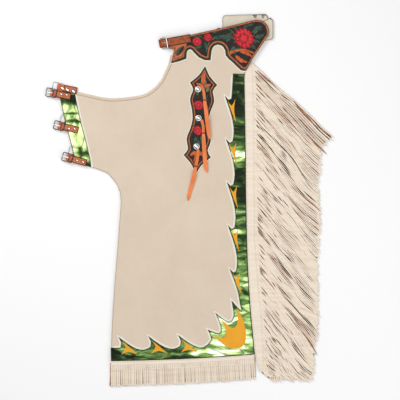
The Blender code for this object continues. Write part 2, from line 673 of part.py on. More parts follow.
def cutter(name, low, high, like):
    """A box that is cut out of another piece, in that piece's own axes."""
    corners = [(x, y, z) for x in (low[0], high[0]) for y in (low[1], high[1]) for z in (low[2], high[2])]
    faces = [[0, 1, 3, 2], [4, 6, 7, 5], [0, 4, 5, 1], [2, 3, 7, 6], [0, 2, 6, 4], [1, 5, 7, 3]]
    box = solid(name, corners, faces, like.data.materials[0])
    box.location = like.location
    box.rotation_euler = like.rotation_euler
    box.hide_render = True
    box.display_type = "WIRE"
    cut = like.modifiers.new(name, "BOOLEAN")
    cut.operation = "DIFFERENCE"
    cut.object = box
    cut.solver = "EXACT"
    return box


def turned_by(points, degrees):
    """Points of a profile turned about its bar."""
    c, s = math.cos(math.radians(degrees)), math.sin(math.radians(degrees))
    return [(x * c - y * s, x * s + y * c) for x, y in points]


def strap_profile(ply, clear, droop, far):
    """A folded strap from the side: its eye round the bar, its two plies under the end bar, its end on the leg."""
    eye = clear + ply
    slab_top = 2 * ply - eye
    rise = BEND_AT * math.sin(math.radians(droop))
    foot = turned_by([(0.0, -eye), (BEND_AT, -eye)], droop)
    flat_on_leg = [(far, rise - eye), (far, rise + slab_top)]
    meet = math.degrees(math.asin(slab_top / eye))
    head = turned_by([(BEND_AT - 1.0, slab_top)] + arc(eye, meet, 248.0, 12), droop)
    return foot + flat_on_leg + head, arc(clear, 0.0, 330.0, 11)


def frame_piece(name, bar, lift, place, tilt_deg, droop=0.0):
    """A rectangular centre-bar buckle frame whose ends are lifted over its middle."""
    half, tall, mid = FRAME_LENGTH / 2, FRAME_HEIGHT / 2, bar / 2
    quarter = [(half - FRAME_CORNER + x, tall - FRAME_CORNER + y) for x, y in arc(FRAME_CORNER, 0, 90, 3)]
    quarter.append((mid, tall))
    outline = quarter + [(-x, y) for x, y in quarter[::-1]]
    outline += [(-x, -y) for x, y in quarter] + [(x, -y) for x, y in quarter[::-1]]
    window = [(mid, bar - tall), (half - bar, bar - tall), (half - bar, tall - bar), (mid, tall - bar)]
    windows = [window, [(-x, y) for x, y in window]]

    def bow(x, y):
        return lift * min(1.0, max(0.0, (abs(x) - mid) / (half - bar - mid)))

    piece = plate(name, outline, lambda x, y: bow(x, y) - bar / 2, lambda x, y: bow(x, y) + bar / 2,
                  NICKEL_FINISH, holes=windows)
    piece.location = [MM * c for c in place]
    piece.rotation_euler = (0.0, -math.radians(droop), math.radians(tilt_deg))
    return piece


def prong_profile(clear, rest_low):
    """A prong from the side: a collar round the bar and a shaft that lies on the left end bar."""
    collar = clear + 1.1
    shaft_at = FRAME_LENGTH / 2 - BAR / 2
    outline = arc(collar, -160.0, 105.0, 13)
    outline += [(-shaft_at, rest_low + 1.9), (-PRONG_REACH, rest_low + 1.2), (-PRONG_REACH, rest_low)]
    outline += [(-shaft_at + BAR, rest_low)]
    return outline, arc(clear, 0.0, 330.0, 11)


# Thigh straps and their buckles on the upper leg, which droop a little past the panel's edge
EYE = BAR_CLEAR + PLY
UPPER_BAR_HEIGHT = ACCENT_LOW + EYE - BEND_AT * math.sin(math.radians(BUCKLE_DROOP))
PRONG_REST = END_BAR_LIFT + BAR / 2 + GAP
buckle_places = []
for x, y, tilt_down in STRAPS:
    turn = math.radians(-tilt_down)
    buckle_places.append((x - STRAP_TO_BUCKLE * math.cos(turn), y - STRAP_TO_BUCKLE * math.sin(turn), -tilt_down))
for k, (x, y, turn) in enumerate(buckle_places):
    place = (x, y, UPPER_BAR_HEIGHT)
    outline, hole = strap_profile(PLY, BAR_CLEAR, BUCKLE_DROOP, STRAP_FAR)
    strap = upright(f"leg_strap_{k + 1}", outline, [hole], STRAP_WIDTH, place, turn, TOOLED_FINISH)
    slot = EYE + SLOT_MORE
    cutter(f"prong_slot_{k + 1}", (-slot, -slot, -PRONG_SLOT / 2), (slot, slot, PRONG_SLOT / 2), strap)
    frame_piece(f"buckle_frame_{k + 1}", BAR, END_BAR_LIFT, place, turn, BUCKLE_DROOP)
    outline, hole = prong_profile(BAR_CLEAR, PRONG_REST)
    outline, hole = turned_by(outline, BUCKLE_DROOP), turned_by(hole, BUCKLE_DROOP)
    upright(f"prong_{k + 1}", outline, [hole], PRONG_WIDTH, place, turn, NICKEL_FINISH)

# The lower leg's buckles: the first shows its strap from behind, the others show only their left ends
LOWER_EYE = LOWER_BAR_CLEAR + LOWER_PLY
for k, (x, y, turn) in enumerate(buckle_places):
    seen = k == 0
    place = (x + LOWER_BUCKLE_SHIFT[0], y + LOWER_BUCKLE_SHIFT[1], LOWER_SEEN_BAR if seen else LOWER_EYE)
    outline, hole = strap_profile(LOWER_PLY, LOWER_BAR_CLEAR, 0.0, STRAP_FAR if seen else LOWER_STRAP_END)
    if seen:
        outline = [(px, LOWER_SEEN_RISE * min(1.0, max(0.0, px / BEND_AT)) - py) for px, py in outline]
    upright(f"lower_strap_{k + 1}", outline, [hole], STRAP_WIDTH, place, turn, TOOLED_FINISH)
    frame_piece(f"lower_frame_{k + 1}", LOWER_BAR, -END_BAR_LIFT if seen else END_BAR_LIFT, place, turn)


# Waist billet, folded round its buckle's hinge bar and lying over the yoke
def thick_path(rows, thickness, count):
    """The outline of a strip of this thickness along a line, with this many stretches."""
    line = Path(curve(rows, 3.0))
    marks = [line.length * k / count for k in range(count + 1)]
    return [line.at(m, thickness / 2) for m in marks] + [line.at(m, -thickness / 2) for m in marks[::-1]]


billet = upright("belt_billet", thick_path(BELT_PATH, BELT_THICK, 30), (), BELT_WIDTH, (*BELT_START, 0.0), BELT_TILT,
                 TOOLED_FINISH)
for k, along in enumerate(BELT_HOLES):
    rim = arc(BELT_HOLE, 0.0, 315.0, 7)
    count = len(rim)
    points = [(along + x, height, z) for height in (6.0, 20.0) for x, z in rim]
    sides = [[i, (i + 1) % count, count + (i + 1) % count, count + i] for i in range(count)]
    ends = [list(range(count)), list(range(2 * count - 1, count - 1, -1))]
    pin = solid(f"belt_hole_{k + 1}", points, ends + sides, TOOLED_FINISH)
    pin.location = billet.location
    pin.rotation_euler = billet.rotation_euler
    pin.hide_render = True
    pin.display_type = "WIRE"
    cut = billet.modifiers.new(pin.name, "BOOLEAN")
    cut.operation = "DIFFERENCE"
    cut.object = pin
    cut.solver = "EXACT"


def belt_frame_low(x, y):
    share = (x - BELT_FRAME_FROM - BELT_BAR) / (BELT_FRAME_TO - BELT_FRAME_FROM - 2 * BELT_BAR)
    return BELT_FRAME_LOW + (BELT_FRAME_HIGH - BELT_FRAME_LOW) * min(1.0, max(0.0, share))


def rectangle(x0, x1, half):
    return [(x0, -half), (x1, -half), (x1, half), (x0, half)]


inside = rectangle(BELT_FRAME_FROM + BELT_BAR, BELT_FRAME_TO - BELT_BAR, BELT_FRAME_HALF - BELT_BAR)
around = [(BELT_FRAME_FROM, -BELT_FRAME_HALF), (BELT_FRAME_FROM + BELT_BAR, -BELT_FRAME_HALF),
          (BELT_FRAME_TO - BELT_BAR, -BELT_FRAME_HALF), (BELT_FRAME_TO, -BELT_FRAME_HALF)]
around += [(x, -y) for x, y in around[::-1]]
frame = plate("belt_buckle_frame", around, belt_frame_low, lambda x, y: belt_frame_low(x, y) + BELT_BAR,
              NICKEL_FINISH, holes=[inside])
frame.location = (MM * BELT_START[0], MM * BELT_START[1], 0.0)
frame.rotation_euler = (0.0, 0.0, math.radians(BELT_TILT))
upright("belt_prong", thick_path(BELT_PRONG, BELT_PRONG_THICK, 5), (), PRONG_WIDTH, (*BELT_START, 0.0), BELT_TILT,
        NICKEL_FINISH)

# Cream belt strap and tab of the lower leg
holes = [[(x + hx, y + hy) for hx, hy in arc(BELT_HOLE, 0.0, 315.0, 7)] for x, y in LOWER_BELT_HOLES]
plate("lower_belt", LOWER_BELT, level(0.0), level(LOWER_BELT_THICK), LEATHER_FINISH, holes=holes)
plate("lower_belt_tab", LOWER_TAB, level(LOWER_BELT_THICK + GAP), level(LOWER_BELT_THICK + GAP + LOWER_TAB_THICK),
      LEATHER_FINISH)


def fringe(name, roots, inner, low, strands, material):
    """Strands that grow from the outer side of a narrow strip, as one solid.

    roots holds the two ends of each strand's root, inner the strip's other side with a point for every second
    strand, and strands the rings of four points that each strand runs through after its root.
    """
    high = low + STRAND_THICK
    outer = [p for pair in roots for p in pair]
    points = [(x, y, z) for z in (low, high) for x, y in outer] + [(x, y, z) for z in (low, high) for x, y in inner]
    n, m = len(outer), len(inner)

    def out(i, top):
        return i + n * top

    def inn(i, top):
        return 2 * n + i + m * top

    faces = []
    for top in (0, 1):
        for k in range(m - 1):
            last = min(4 * k + 4, n - 1)
            faces.append([inn(k, top), inn(k + 1, top)] + [out(i, top) for i in range(last, 4 * k - 1, -1)])
    faces += [[inn(k, 0), inn(k + 1, 0), inn(k + 1, 1), inn(k, 1)] for k in range(m - 1)]
    faces += [[out(i, 0), out(i + 1, 0), out(i + 1, 1), out(i, 1)] for i in range(1, n - 1, 2)]
    faces.append([inn(0, 0), out(0, 0), out(0, 1), inn(0, 1)])
    faces.append([inn(m - 1, 0), out(n - 1, 0), out(n - 1, 1), inn(m - 1, 1)])
    for k, rings in enumerate(strands):
        ring = [out(2 * k + 1, 0), out(2 * k, 0), out(2 * k, 1), out(2 * k + 1, 1)]
        for section in rings:
            start = len(points)
            points += section
            for side in range(4):
                after = (side + 1) % 4
                faces.append([ring[side], ring[after], start + after, start + side])
            ring = [start + side for side in range(4)]
        faces.append(ring)
    return solid(name, points, faces, material)


def strand(x, y, slope, length, width, sway, heights):
    """The rings of a strand that leaves its root at a slope below level and bends a little aside."""
    run = (math.cos(slope), -math.sin(slope))
    rings = []
    marks = [STRAND_START, length] if len(heights) == 2 else [STRAND_START, length * 0.55, length]
    for along, low in zip(marks, heights):
        aside = sway * (along - STRAND_START) / (length - STRAND_START)
        px = x + run[0] * along - run[1] * aside
        py = y + run[1] * along + run[0] * aside
        rings.append(ring_of_four(px, py, run, width, low, low + STRAND_THICK))
    return rings


def wave(k, pace, shift):
    return math.sin(k * pace + shift) * 0.6 + math.sin(k * pace * 0.43 + 2.1 * shift) * 0.4


def side_fringe(name, count, strip_low, inner_shift, tip_low, rise, width, seed, material):
    """Fringe down the outseam, each strand sloping down to the fringe's outer edge."""
    draw = random.Random(seed)
    ups = [row[0] for row in SIDE_FRINGE][::-1]

    def read(column, up):
        return float(np.interp(up, ups, [row[column] for row in SIDE_FRINGE][::-1]))

    inner_line = SIDE_STRIP_TAIL[::-1] + outseam[1:]
    pitch = (ups[-1] - ups[0]) / count
    root = min(pitch * ROOT_SHARE, SIDE_STRAND_WIDTH * 1.6)
    roots, strands = [], []
    for k in range(count):
        up = ups[-1] - (k + 0.5) * pitch
        roots.append([(read(1, up + s * root / 2), up + s * root / 2) for s in (1, -1)])
        slope = math.radians(read(2, up))
        length = (read(3, up) - read(1, up)) / math.cos(slope)
        length = min(length, (up - SIDE_FRINGE_FOOT) / math.sin(slope)) + draw.uniform(-5.0, 3.0)
        length = max(length, STRAND_START * 1.8)
        pile = rise * (min(1.0, k / 8) * (1 + wave(k, 0.31, seed)) + draw.uniform(0.0, 0.5))
        heights = [strip_low, max(tip_low, strip_low - 0.4) + pile, tip_low + rise * draw.uniform(0.0, 0.4)]
        if not rise:
            heights.pop(1)
        strands.append(strand(read(1, up), up, slope, length, width, 1.8 * wave(k, 0.17, seed), heights))
    edges = [ups[-1] - 2 * k * pitch for k in range((count + 1) // 2)] + [ups[0]]
    inner = [(across_at(inner_line, up) + inner_shift, up) for up in edges]
    return fringe(name, roots, inner, strip_low, strands, material)


def hem_fringe(name, count, span, strip_low, inner_shift, lean, tip_low, seed, material):
    """Fringe along the hem, from the right end to the left, hanging down the leg."""
    draw = random.Random(seed)

    def seam(x, drop):
        y = float(np.interp(x, [p[0] for p in hem], [p[1] for p in hem]))
        return (x, y - drop)

    left, right = span
    pitch = (right - left) / count
    roots, strands = [], []
    for k in range(count):
        x = right - (k + 0.5) * pitch
        root = min(pitch * ROOT_SHARE, HEM_STRAND_WIDTH)
        roots.append([seam(x + s * root / 2, HEM_STRIP) for s in (1, -1)])
        share = (x - left) / (right - left)
        slope = math.radians(90.0 - lean[0] - (lean[1] - lean[0]) * share)
        length = HEM_STRAND_LENGTH + draw.uniform(-1.8, 1.8)
        heights = [strip_low, tip_low + draw.uniform(0.0, 0.5)]
        rings = strand(*seam(x, HEM_STRIP), slope, length, root, 1.0 * wave(k, 0.23, seed), heights)
        strands.append(rings)
    edges = [right - 2 * k * pitch for k in range((count + 1) // 2)] + [left]
    inner = [seam(x, inner_shift) for x in edges]
    return fringe(name, roots, inner, strip_low, strands, material)


side_fringe("side_fringe", STRANDS_SIDE, PANEL_LOW, 0.6, UPPER_TIP_LOW, 1.6, SIDE_STRAND_WIDTH, 3, FRINGE_FINISH)
side_fringe("lower_side_fringe", STRANDS_LOWER_SIDE, 0.0, 0.6, LOWER_TIP_LOW, 0.0, 4.6, 11, FRINGE_FINISH)
hem_fringe("hem_fringe", STRANDS_HEM, (HEM_EDGE[0][0] - 1.0, HEM_EDGE[-1][0]), PANEL_LOW, 0.5, (0.0, 3.0),
           UPPER_TIP_LOW, 5, FRINGE_FINISH)
hem_fringe("lower_hem_fringe", STRANDS_LOWER_HEM, LOWER_HEM_FROM, 0.0, 0.5, (-4.0, -1.0), LOWER_TIP_LOW, 7,
           FRINGE_FINISH)

# The whole part rests on the surface with the middle of its box over the origin
bpy.context.view_layer.update()
graph = bpy.context.evaluated_depsgraph_get()
lowest, highest = Vector((9, 9, 9)), Vector((-9, -9, -9))
for piece in bpy.data.objects:
    if piece.type != "MESH" or piece.hide_render:
        continue
    shape = piece.evaluated_get(graph).to_mesh()
    for vertex in shape.vertices:
        spot = piece.matrix_world @ vertex.co
        lowest = Vector(map(min, lowest, spot))
        highest = Vector(map(max, highest, spot))
    piece.evaluated_get(graph).to_mesh_clear()
chaps.location = (-(lowest.x + highest.x) / 2, -(lowest.y + highest.y) / 2, -lowest.z)
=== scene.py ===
import math
import random

import bmesh
import bpy
import numpy as np
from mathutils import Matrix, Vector, noise
from mathutils.bvhtree import BVHTree
from mathutils.geometry import delaunay_2d_cdt


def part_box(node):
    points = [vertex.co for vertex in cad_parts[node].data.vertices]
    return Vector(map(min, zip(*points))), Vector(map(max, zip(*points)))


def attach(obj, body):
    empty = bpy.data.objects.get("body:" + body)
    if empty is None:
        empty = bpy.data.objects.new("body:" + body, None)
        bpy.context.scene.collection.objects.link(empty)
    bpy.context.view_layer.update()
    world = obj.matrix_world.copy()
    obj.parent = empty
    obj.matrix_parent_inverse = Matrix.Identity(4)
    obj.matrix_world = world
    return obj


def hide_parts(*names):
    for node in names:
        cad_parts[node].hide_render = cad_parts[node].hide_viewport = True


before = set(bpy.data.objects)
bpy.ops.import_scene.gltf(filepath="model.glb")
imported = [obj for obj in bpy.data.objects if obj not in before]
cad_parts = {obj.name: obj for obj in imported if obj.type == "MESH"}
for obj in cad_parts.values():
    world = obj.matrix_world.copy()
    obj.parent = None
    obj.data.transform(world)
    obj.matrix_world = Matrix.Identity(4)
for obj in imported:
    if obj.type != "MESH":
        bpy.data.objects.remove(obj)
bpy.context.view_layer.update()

# The surface that the chaps lie on, and the soft studio light over it.
# The camera looks straight down, as over a table, and is centred on the middle of the upper leg.
MM = 0.001
BELT_CORNER = (176.8, 483.5)
PIXEL = 2.6
VIEW_PIXELS = 400
CAMERA_HEIGHT = 2.5
PAPER_SIZE = 6.0
SKY_LIGHT = 0.36
SHINE = 0.22
LAMPS = [
    # name, place, size, power
    ("window", (-1.3, 1.2, 1.9), 1.1, 26.5),
    ("overhead", (0.2, 0.0, 2.4), 1.6, 18.0),
    ("fill", (1.6, -1.3, 1.5), 1.2, 12.0),
]
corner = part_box("lower_belt")[1]
LEG_MIDDLE = (corner[0] - BELT_CORNER[0] * MM, corner[1] - BELT_CORNER[1] * MM)


def dyed(red, green, blue):
    """A colour as a dyer would read it off a chart, 0 to 255, in Blender's linear values."""
    shares = [c / 255 for c in (red, green, blue)]
    return (*[s / 12.92 if s <= 0.04045 else ((s + 0.055) / 1.055) ** 2.4 for s in shares], 1.0)


def finish_of(name, roughness, metallic=0.0, sheen=0.0, coat=0.0):
    """A new finish: its nodes, its shader, and the place on the garment in metres."""
    material = bpy.data.materials.new(name)
    material.use_nodes = True
    nodes = material.node_tree.nodes
    shader = nodes["Principled BSDF"]
    shader.inputs["Roughness"].default_value = roughness
    shader.inputs["Metallic"].default_value = metallic
    shader.inputs["Sheen Weight"].default_value = sheen
    shader.inputs["Coat Weight"].default_value = coat
    shader.inputs["Specular IOR Level"].default_value = SHINE
    place = nodes.new("ShaderNodeTexCoord").outputs["Object"]
    return material, shader, place


def node(material, kind, sockets, **settings):
    """A shader node with its settings, its sockets filled with values or joined to other nodes."""
    made = material.node_tree.nodes.new(kind)
    for name, value in settings.items():
        setattr(made, name, value)
    for name, value in sockets.items():
        if isinstance(value, bpy.types.NodeSocket):
            material.node_tree.links.new(value, made.inputs[name])
        else:
            made.inputs[name].default_value = value
    return made


def mottle(material, place, scale, detail, rough=0.5):
    """A noise from 0 to 1 over the garment, with this many patches to a metre."""
    return node(material, "ShaderNodeTexNoise", {"Vector": place, "Scale": scale, "Detail": detail,
                                                 "Roughness": rough}).outputs["Fac"]


def shades(material, share, stops):
    """A run of colours from one end of a share to the other."""
    ramp = node(material, "ShaderNodeValToRGB", {"Fac": share})
    band = ramp.color_ramp
    while len(band.elements) < len(stops):
        band.elements.new(0.5)
    for element, (spot, colour) in zip(band.elements, stops):
        element.position = spot
        element.color = colour
    return ramp.outputs["Color"]


def patchy(material, place, scale, low, dark, high, pale, detail=2.0, rough=0.5):
    """Two shades in patches: dark where a noise is below its low share, and pale above its high one."""
    return shades(material, mottle(material, place, scale, detail, rough), [(low, dark), (high, pale)])


def coloured(material, shader, colour):
    """A run of colour on the shader."""
    material.node_tree.links.new(colour, shader.inputs["Base Color"])


paper, paper_shader, paper_place = finish_of("studio_paper", 0.9)
coloured(paper, paper_shader,
         patchy(paper, paper_place, 3.0, 0.0, dyed(253, 253, 253), 1.0, dyed(255, 255, 255)))
bpy.ops.mesh.primitive_plane_add(size=PAPER_SIZE, location=(*LEG_MIDDLE, 0.0))
studio = bpy.context.object
studio.name = "studio_surface"
studio.data.materials.append(paper)

eye = bpy.data.cameras.new("eye")
eye.type = "ORTHO"
eye.ortho_scale = VIEW_PIXELS * PIXEL * MM
eye_stand = bpy.data.objects.new("eye", eye)
eye_stand.location = (*LEG_MIDDLE, CAMERA_HEIGHT)
bpy.context.collection.objects.link(eye_stand)
bpy.context.scene.camera = eye_stand

for name, place, size, power in LAMPS:
    lamp = bpy.data.lights.new(name, "AREA")
    lamp.size = size
    lamp.energy = power
    stand = bpy.data.objects.new(name, lamp)
    stand.location = place
    stand.rotation_euler = Vector(place).to_track_quat("Z", "Y").to_euler()
    bpy.context.collection.objects.link(stand)
sky = bpy.data.worlds.new("studio")
sky.use_nodes = True
sky.node_tree.nodes["Background"].inputs["Color"].default_value = (1.0, 1.0, 1.0, 1.0)
sky.node_tree.nodes["Background"].inputs["Strength"].default_value = SKY_LIGHT
bpy.context.scene.world = sky
bpy.context.scene.view_settings.view_transform = "Standard"

# Lower leg: the same suede as the upper one, folded face down beneath it.
# One rounded hide, napped on its face, whose cut edge shows along the top of the thigh.
LOWER_CELL = 12.0
LOWER_THICK = 4.0
CUT_ANGLE = 55.0
LEVEL_SLACK = 0.02
FACING_UP = 0.7
ROW_RISE = 0.866
EDGE_MARGIN = 0.55
SUEDE_PALE = dyed(226, 209, 189)
SUEDE_DARK = dyed(214, 196, 175)


def blended(material, share, one, other, how="MIX"):
    """One colour over another by a share."""
    mixed = node(material, "ShaderNodeMix", {"Factor": share}, data_type="RGBA", blend_type=how)
    for socket, value in ((mixed.inputs[6], one), (mixed.inputs[7], other)):
        if isinstance(value, bpy.types.NodeSocket):
            material.node_tree.links.new(value, socket)
        else:
            socket.default_value = value
    return mixed.outputs[2]


def grained(material, shader, height, strength, depth, before=None):
    """Relief too fine for the mesh, on the shader's normal."""
    sockets = {"Height": height, "Strength": strength, "Distance": depth}
    if before is not None:
        sockets["Normal"] = before
    bump = node(material, "ShaderNodeBump", sockets).outputs["Normal"]
    material.node_tree.links.new(bump, shader.inputs["Normal"])
    return bump


def edge_darkened(material, colour, edge_tone, width):
    """The colour of a cut piece, darkened beside its cut edge over a width in millimetres."""
    near = node(material, "ShaderNodeAttribute", {}, attribute_name="from_edge").outputs["Fac"]
    share = node(material, "ShaderNodeMapRange", {"Value": near, "From Min": width * 0.4, "From Max": width,
                                                  "To Min": 1.0, "To Max": 0.0}).outputs[0]
    return blended(material, share, colour, edge_tone)


def suede(name, pale, dark, edge=None):
    """Napped suede: slow patches of shade where the hand has brushed it, a fine nap, and, where an edge colour
    is given, a painted edge shadow beside the cut edge.
    """
    material, shader, place = finish_of(name, 0.92, sheen=0.25)
    brushed = patchy(material, place, 9.0, 0.3, dark, 0.7, pale, 3.0)
    worn = blended(material, 0.35, brushed, patchy(material, place, 55.0, 0.3, dark, 0.72, pale, 4.0, 0.65))
    nap = mottle(material, place, 900.0, 5.0, 0.7)
    napped = blended(material, 0.22, worn, shades(material, nap, [(0.25, dark), (0.75, pale)]))
    coloured(material, shader, napped if edge is None else edge_darkened(material, napped, edge, 2.0))
    grained(material, shader, nap, 0.35, 0.0004)
    return material


def enclosed(loop):
    """The area inside a closed line, in square millimetres."""
    return sum(a[0] * b[1] - b[0] * a[1] for a, b in zip(loop, loop[1:] + loop[:1])) / 2


def edge_of(name, height=None):
    """The outline of a node's upper face, the widest loop first, in millimetres on the leg.

    With a height, only the faces that lie level at that height count.
    """
    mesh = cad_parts[name].data
    level = [height is None or abs(v.co.z / MM - height) < LEVEL_SLACK for v in mesh.vertices]
    spots = [tuple(round((v.co[i] - LEG_MIDDLE[i]) / MM, 2) for i in (0, 1)) for v in mesh.vertices]
    sides = set()
    for face in mesh.polygons:
        if face.normal.z > FACING_UP and all(level[i] for i in face.vertices):
            ring = [spots[i] for i in face.vertices]
            sides.update((a, b) for a, b in zip(ring, ring[1:] + ring[:1]) if a != b)
    after = {a: b for a, b in sides if (b, a) not in sides}
    loops = []
    while after:
        start = min(after)
        loop = [start]
        spot = after.pop(start)
        while spot != start and spot in after:
            loop.append(spot)
            spot = after.pop(spot)
        loops.append(loop)
    return sorted(loops, key=enclosed, reverse=True)


def spaced(loop, step):
    """A closed line with points no further apart than a step."""
    line = []
    for a, b in zip(loop, loop[1:] + loop[:1]):
        count = max(1, math.ceil(math.dist(a, b) / step))
        line += [(a[0] + (b[0] - a[0]) * k / count, a[1] + (b[1] - a[1]) * k / count) for k in range(count)]
    return line


def edge_distance(points, loops):
    """How far each point is from the nearest of some closed lines, and whether it is inside them."""
    points = np.array(points, float)
    nearest = np.full(len(points), 1e9)
    inside = np.zeros(len(points), bool)
    for loop in loops:
        a = np.array(loop, float)
        b = np.roll(a, -1, axis=0)
        for p, q in zip(a, b):
            run = q - p
            share = np.clip(((points - p) @ run) / max(run @ run, 1e-12), 0, 1)
            nearest = np.minimum(nearest, np.linalg.norm(p + share[:, None] * run - points, axis=1))
            over = (p[1] > points[:, 1]) != (q[1] > points[:, 1])
            if p[1] != q[1]:
                meet = p[0] + (points[:, 1] - p[1]) * run[0] / run[1]
                inside ^= over & (points[:, 0] < meet)
    return nearest, inside


def cut_hide(loops, cell):
    """Points and triangles that fill an outline: the cut edge first, then rows of points a cell apart."""
    edge, links = [], []
    for loop in loops:
        ring = spaced(loop, cell)
        links += [(len(edge) + i, len(edge) + (i + 1) % len(ring)) for i in range(len(ring))]
        edge += ring
    xs, ys = zip(*edge)
    rows = []
    for j, y in enumerate(np.arange(min(ys) + cell / 2, max(ys), cell * ROW_RISE)):
        shift = cell / 2 if j % 2 else 0.0
        rows += [(x, y) for x in np.arange(min(xs) + shift, max(xs), cell)]
    far, inside = edge_distance(rows, loops)
    kept = [spot for spot, d, held in zip(rows, far, inside) if held and d > cell * EDGE_MARGIN]
    found = delaunay_2d_cdt([Vector(p) for p in edge + kept], links, [], 1, 1e-5)
    flat = [(v.x, v.y) for v in found[0]]
    middles = np.array(flat)[np.array(found[2])].mean(axis=1)
    held = edge_distance(middles, loops)[1]
    return flat, [tuple(face) for face, kept_in in zip(found[2], held) if kept_in]


def piece_of(name, points, faces, material, smooth=40.0):
    """A piece of the garment from points in millimetres on the leg, which rides with it."""
    mesh = bpy.data.meshes.new(name)
    places = [(LEG_MIDDLE[0] + x * MM, LEG_MIDDLE[1] + y * MM, z * MM) for x, y, z in points]
    mesh.from_pydata(places, [], faces)
    mesh.materials.append(material)
    mesh.shade_smooth()
    mesh.set_sharp_from_angle(angle=math.radians(smooth))
    made = bpy.data.objects.new(name, mesh)
    bpy.context.collection.objects.link(made)
    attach(made, "garment")
    return made


def eased(body, width, segments, angle):
    """Rounds the edges of a piece that turn by more than an angle in degrees."""
    rounded = body.modifiers.new("eased_edges", "BEVEL")
    rounded.width = width * MM
    rounded.segments = segments
    rounded.limit_method = "ANGLE"
    rounded.angle_limit = math.radians(angle)


def heights_of(face, places):
    """A face's heights at rows of places, where it is one number or a function of the places."""
    return face(places) if callable(face) else np.full(len(places), face)


def hide(name, loops, cell, top, low, material, rounding):
    """A cut piece of leather between two faces, with a rounded cut edge."""
    flat, faces = cut_hide(loops, cell)
    places = np.array(flat)
    count = len(flat)
    points = [(*p, z) for skin in (top, low) for p, z in zip(flat, heights_of(skin, places))]
    sides = {side for face in faces for side in zip(face, face[1:] + face[:1])}
    rim = sorted((a, b) for a, b in sides if (b, a) not in sides)
    walls = [(b, a, count + a, count + b) for a, b in rim]
    under = [tuple(count + i for i in reversed(face)) for face in faces]
    made = piece_of(name, points, faces + under + walls, material)
    far = edge_distance(flat, loops)[0]
    from_edge = made.data.attributes.new("from_edge", "FLOAT", "POINT")
    from_edge.data.foreach_set("value", np.concatenate([far, far]).astype(np.float32))
    if rounding:
        eased(made, rounding, 2, CUT_ANGLE)
    return made


def cut_for(node_name, name, cell, top, low, material, rounding, level=None):
    """A hide on a node's own outline, which stands for the node."""
    made = hide(name, edge_of(node_name, level)[:1], cell, top, low, material, rounding)
    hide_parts(node_name)
    return made


SUEDE = suede("cream_suede", SUEDE_PALE, SUEDE_DARK)
lower_leg = cut_for("lower_leg", "lower_leg_hide", LOWER_CELL, LOWER_THICK, 0.0, SUEDE, 1.2)

# Upper leg: one panel of cream suede, 2.2 mm thick, cut to the leg's shape and laid over the lower leg.
# It swells softly where it isn't pressed flat, with shallow drag lines at the thigh, knee and seat.
HIDE_CELL = 6.0
PRESSED_LOW = 4.3
SWELL = 0.6
DRAG_LINES = [
    # across, up, half length, half width, turn, rise
    (-205.0, 178.0, 70.0, 9.0, 14.0, 0.7), (-190.0, 152.0, 60.0, 8.0, 20.0, -0.6),
    (-92.0, 205.0, 70.0, 9.0, 76.0, 0.6), (-112.0, 190.0, 64.0, 8.0, 82.0, -0.5),
    (-128.0, -10.0, 90.0, 12.0, 82.0, 0.7), (-150.0, -38.0, 70.0, 9.0, 68.0, -0.6),
    (-30.0, -80.0, 60.0, 9.0, 100.0, 0.5), (-12.0, -112.0, 44.0, 8.0, 78.0, -0.5),
    (30.0, 2.0, 58.0, 8.0, 88.0, 0.5), (-150.0, -200.0, 76.0, 10.0, 100.0, 0.6),
    (-40.0, -232.0, 70.0, 10.0, 74.0, -0.5), (-40.0, 34.0, 34.0, 6.0, 150.0, 0.4),
    (-20.0, -20.0, 30.0, 6.0, 30.0, 0.4), (-66.0, -150.0, 50.0, 8.0, 60.0, 0.4),
]


def shape_under(name, looking):
    """The height of a node's upper (-1) or under (1) face at rows of places, from its own solid."""
    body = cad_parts[name]
    tree = BVHTree.FromObject(body, bpy.context.evaluated_depsgraph_get())

    def read(places):
        heights = []
        for x, y in places:
            start = Vector((LEG_MIDDLE[0] + x * MM, LEG_MIDDLE[1] + y * MM, -looking * 0.1))
            hit = tree.ray_cast(start, Vector((0.0, 0.0, looking)))[0]
            if hit is None:
                hit = tree.find_nearest(Vector((start.x, start.y, 0.1 if looking < 0 else 0.0)))[0]
            heights.append(hit.z / MM)
        return np.array(heights)

    return read


def waves(places, rows):
    """Soft ridges and troughs: the sum of long low mounds, each at a place, with a turn and a rise."""
    total = np.zeros(len(places))
    for across, up, half_length, half_width, turn, rise in rows:
        c, s = math.cos(math.radians(turn)), math.sin(math.radians(turn))
        along = ((places[:, 0] - across) * c + (places[:, 1] - up) * s) / half_length
        aside = ((places[:, 1] - up) * c - (places[:, 0] - across) * s) / half_width
        near = (abs(along) < 1) & (abs(aside) < 1)
        total += np.where(near, rise * (np.cos(np.clip(along, -1, 1) * math.pi / 2)
                                        * np.cos(np.clip(aside, -1, 1) * math.pi / 2)) ** 2, 0.0)
    return total


panel_top, panel_low = shape_under("leg_panel", -1), shape_under("leg_panel", 1)


def lying(face):
    """A face of the panel with its drag lines, which fade out where the panel is pressed flat."""
    def heights(places):
        flat = panel_low(places)
        free = np.clip((flat - PRESSED_LOW) / SWELL, 0.0, 1.0)
        return face(places) + free * waves(places, DRAG_LINES)
    return heights


# The panel's colour is darkened over 2 mm beside its cut edge: a painted edge shadow.
EDGE_SHADOWED_SUEDE = suede("edge_shadowed_suede", SUEDE_PALE, SUEDE_DARK, dyed(176, 154, 130))
leg_panel = cut_for("leg_panel", "leg_panel_hide", HIDE_CELL, lying(panel_top), lying(panel_low),
                    EDGE_SHADOWED_SUEDE, 0.5)

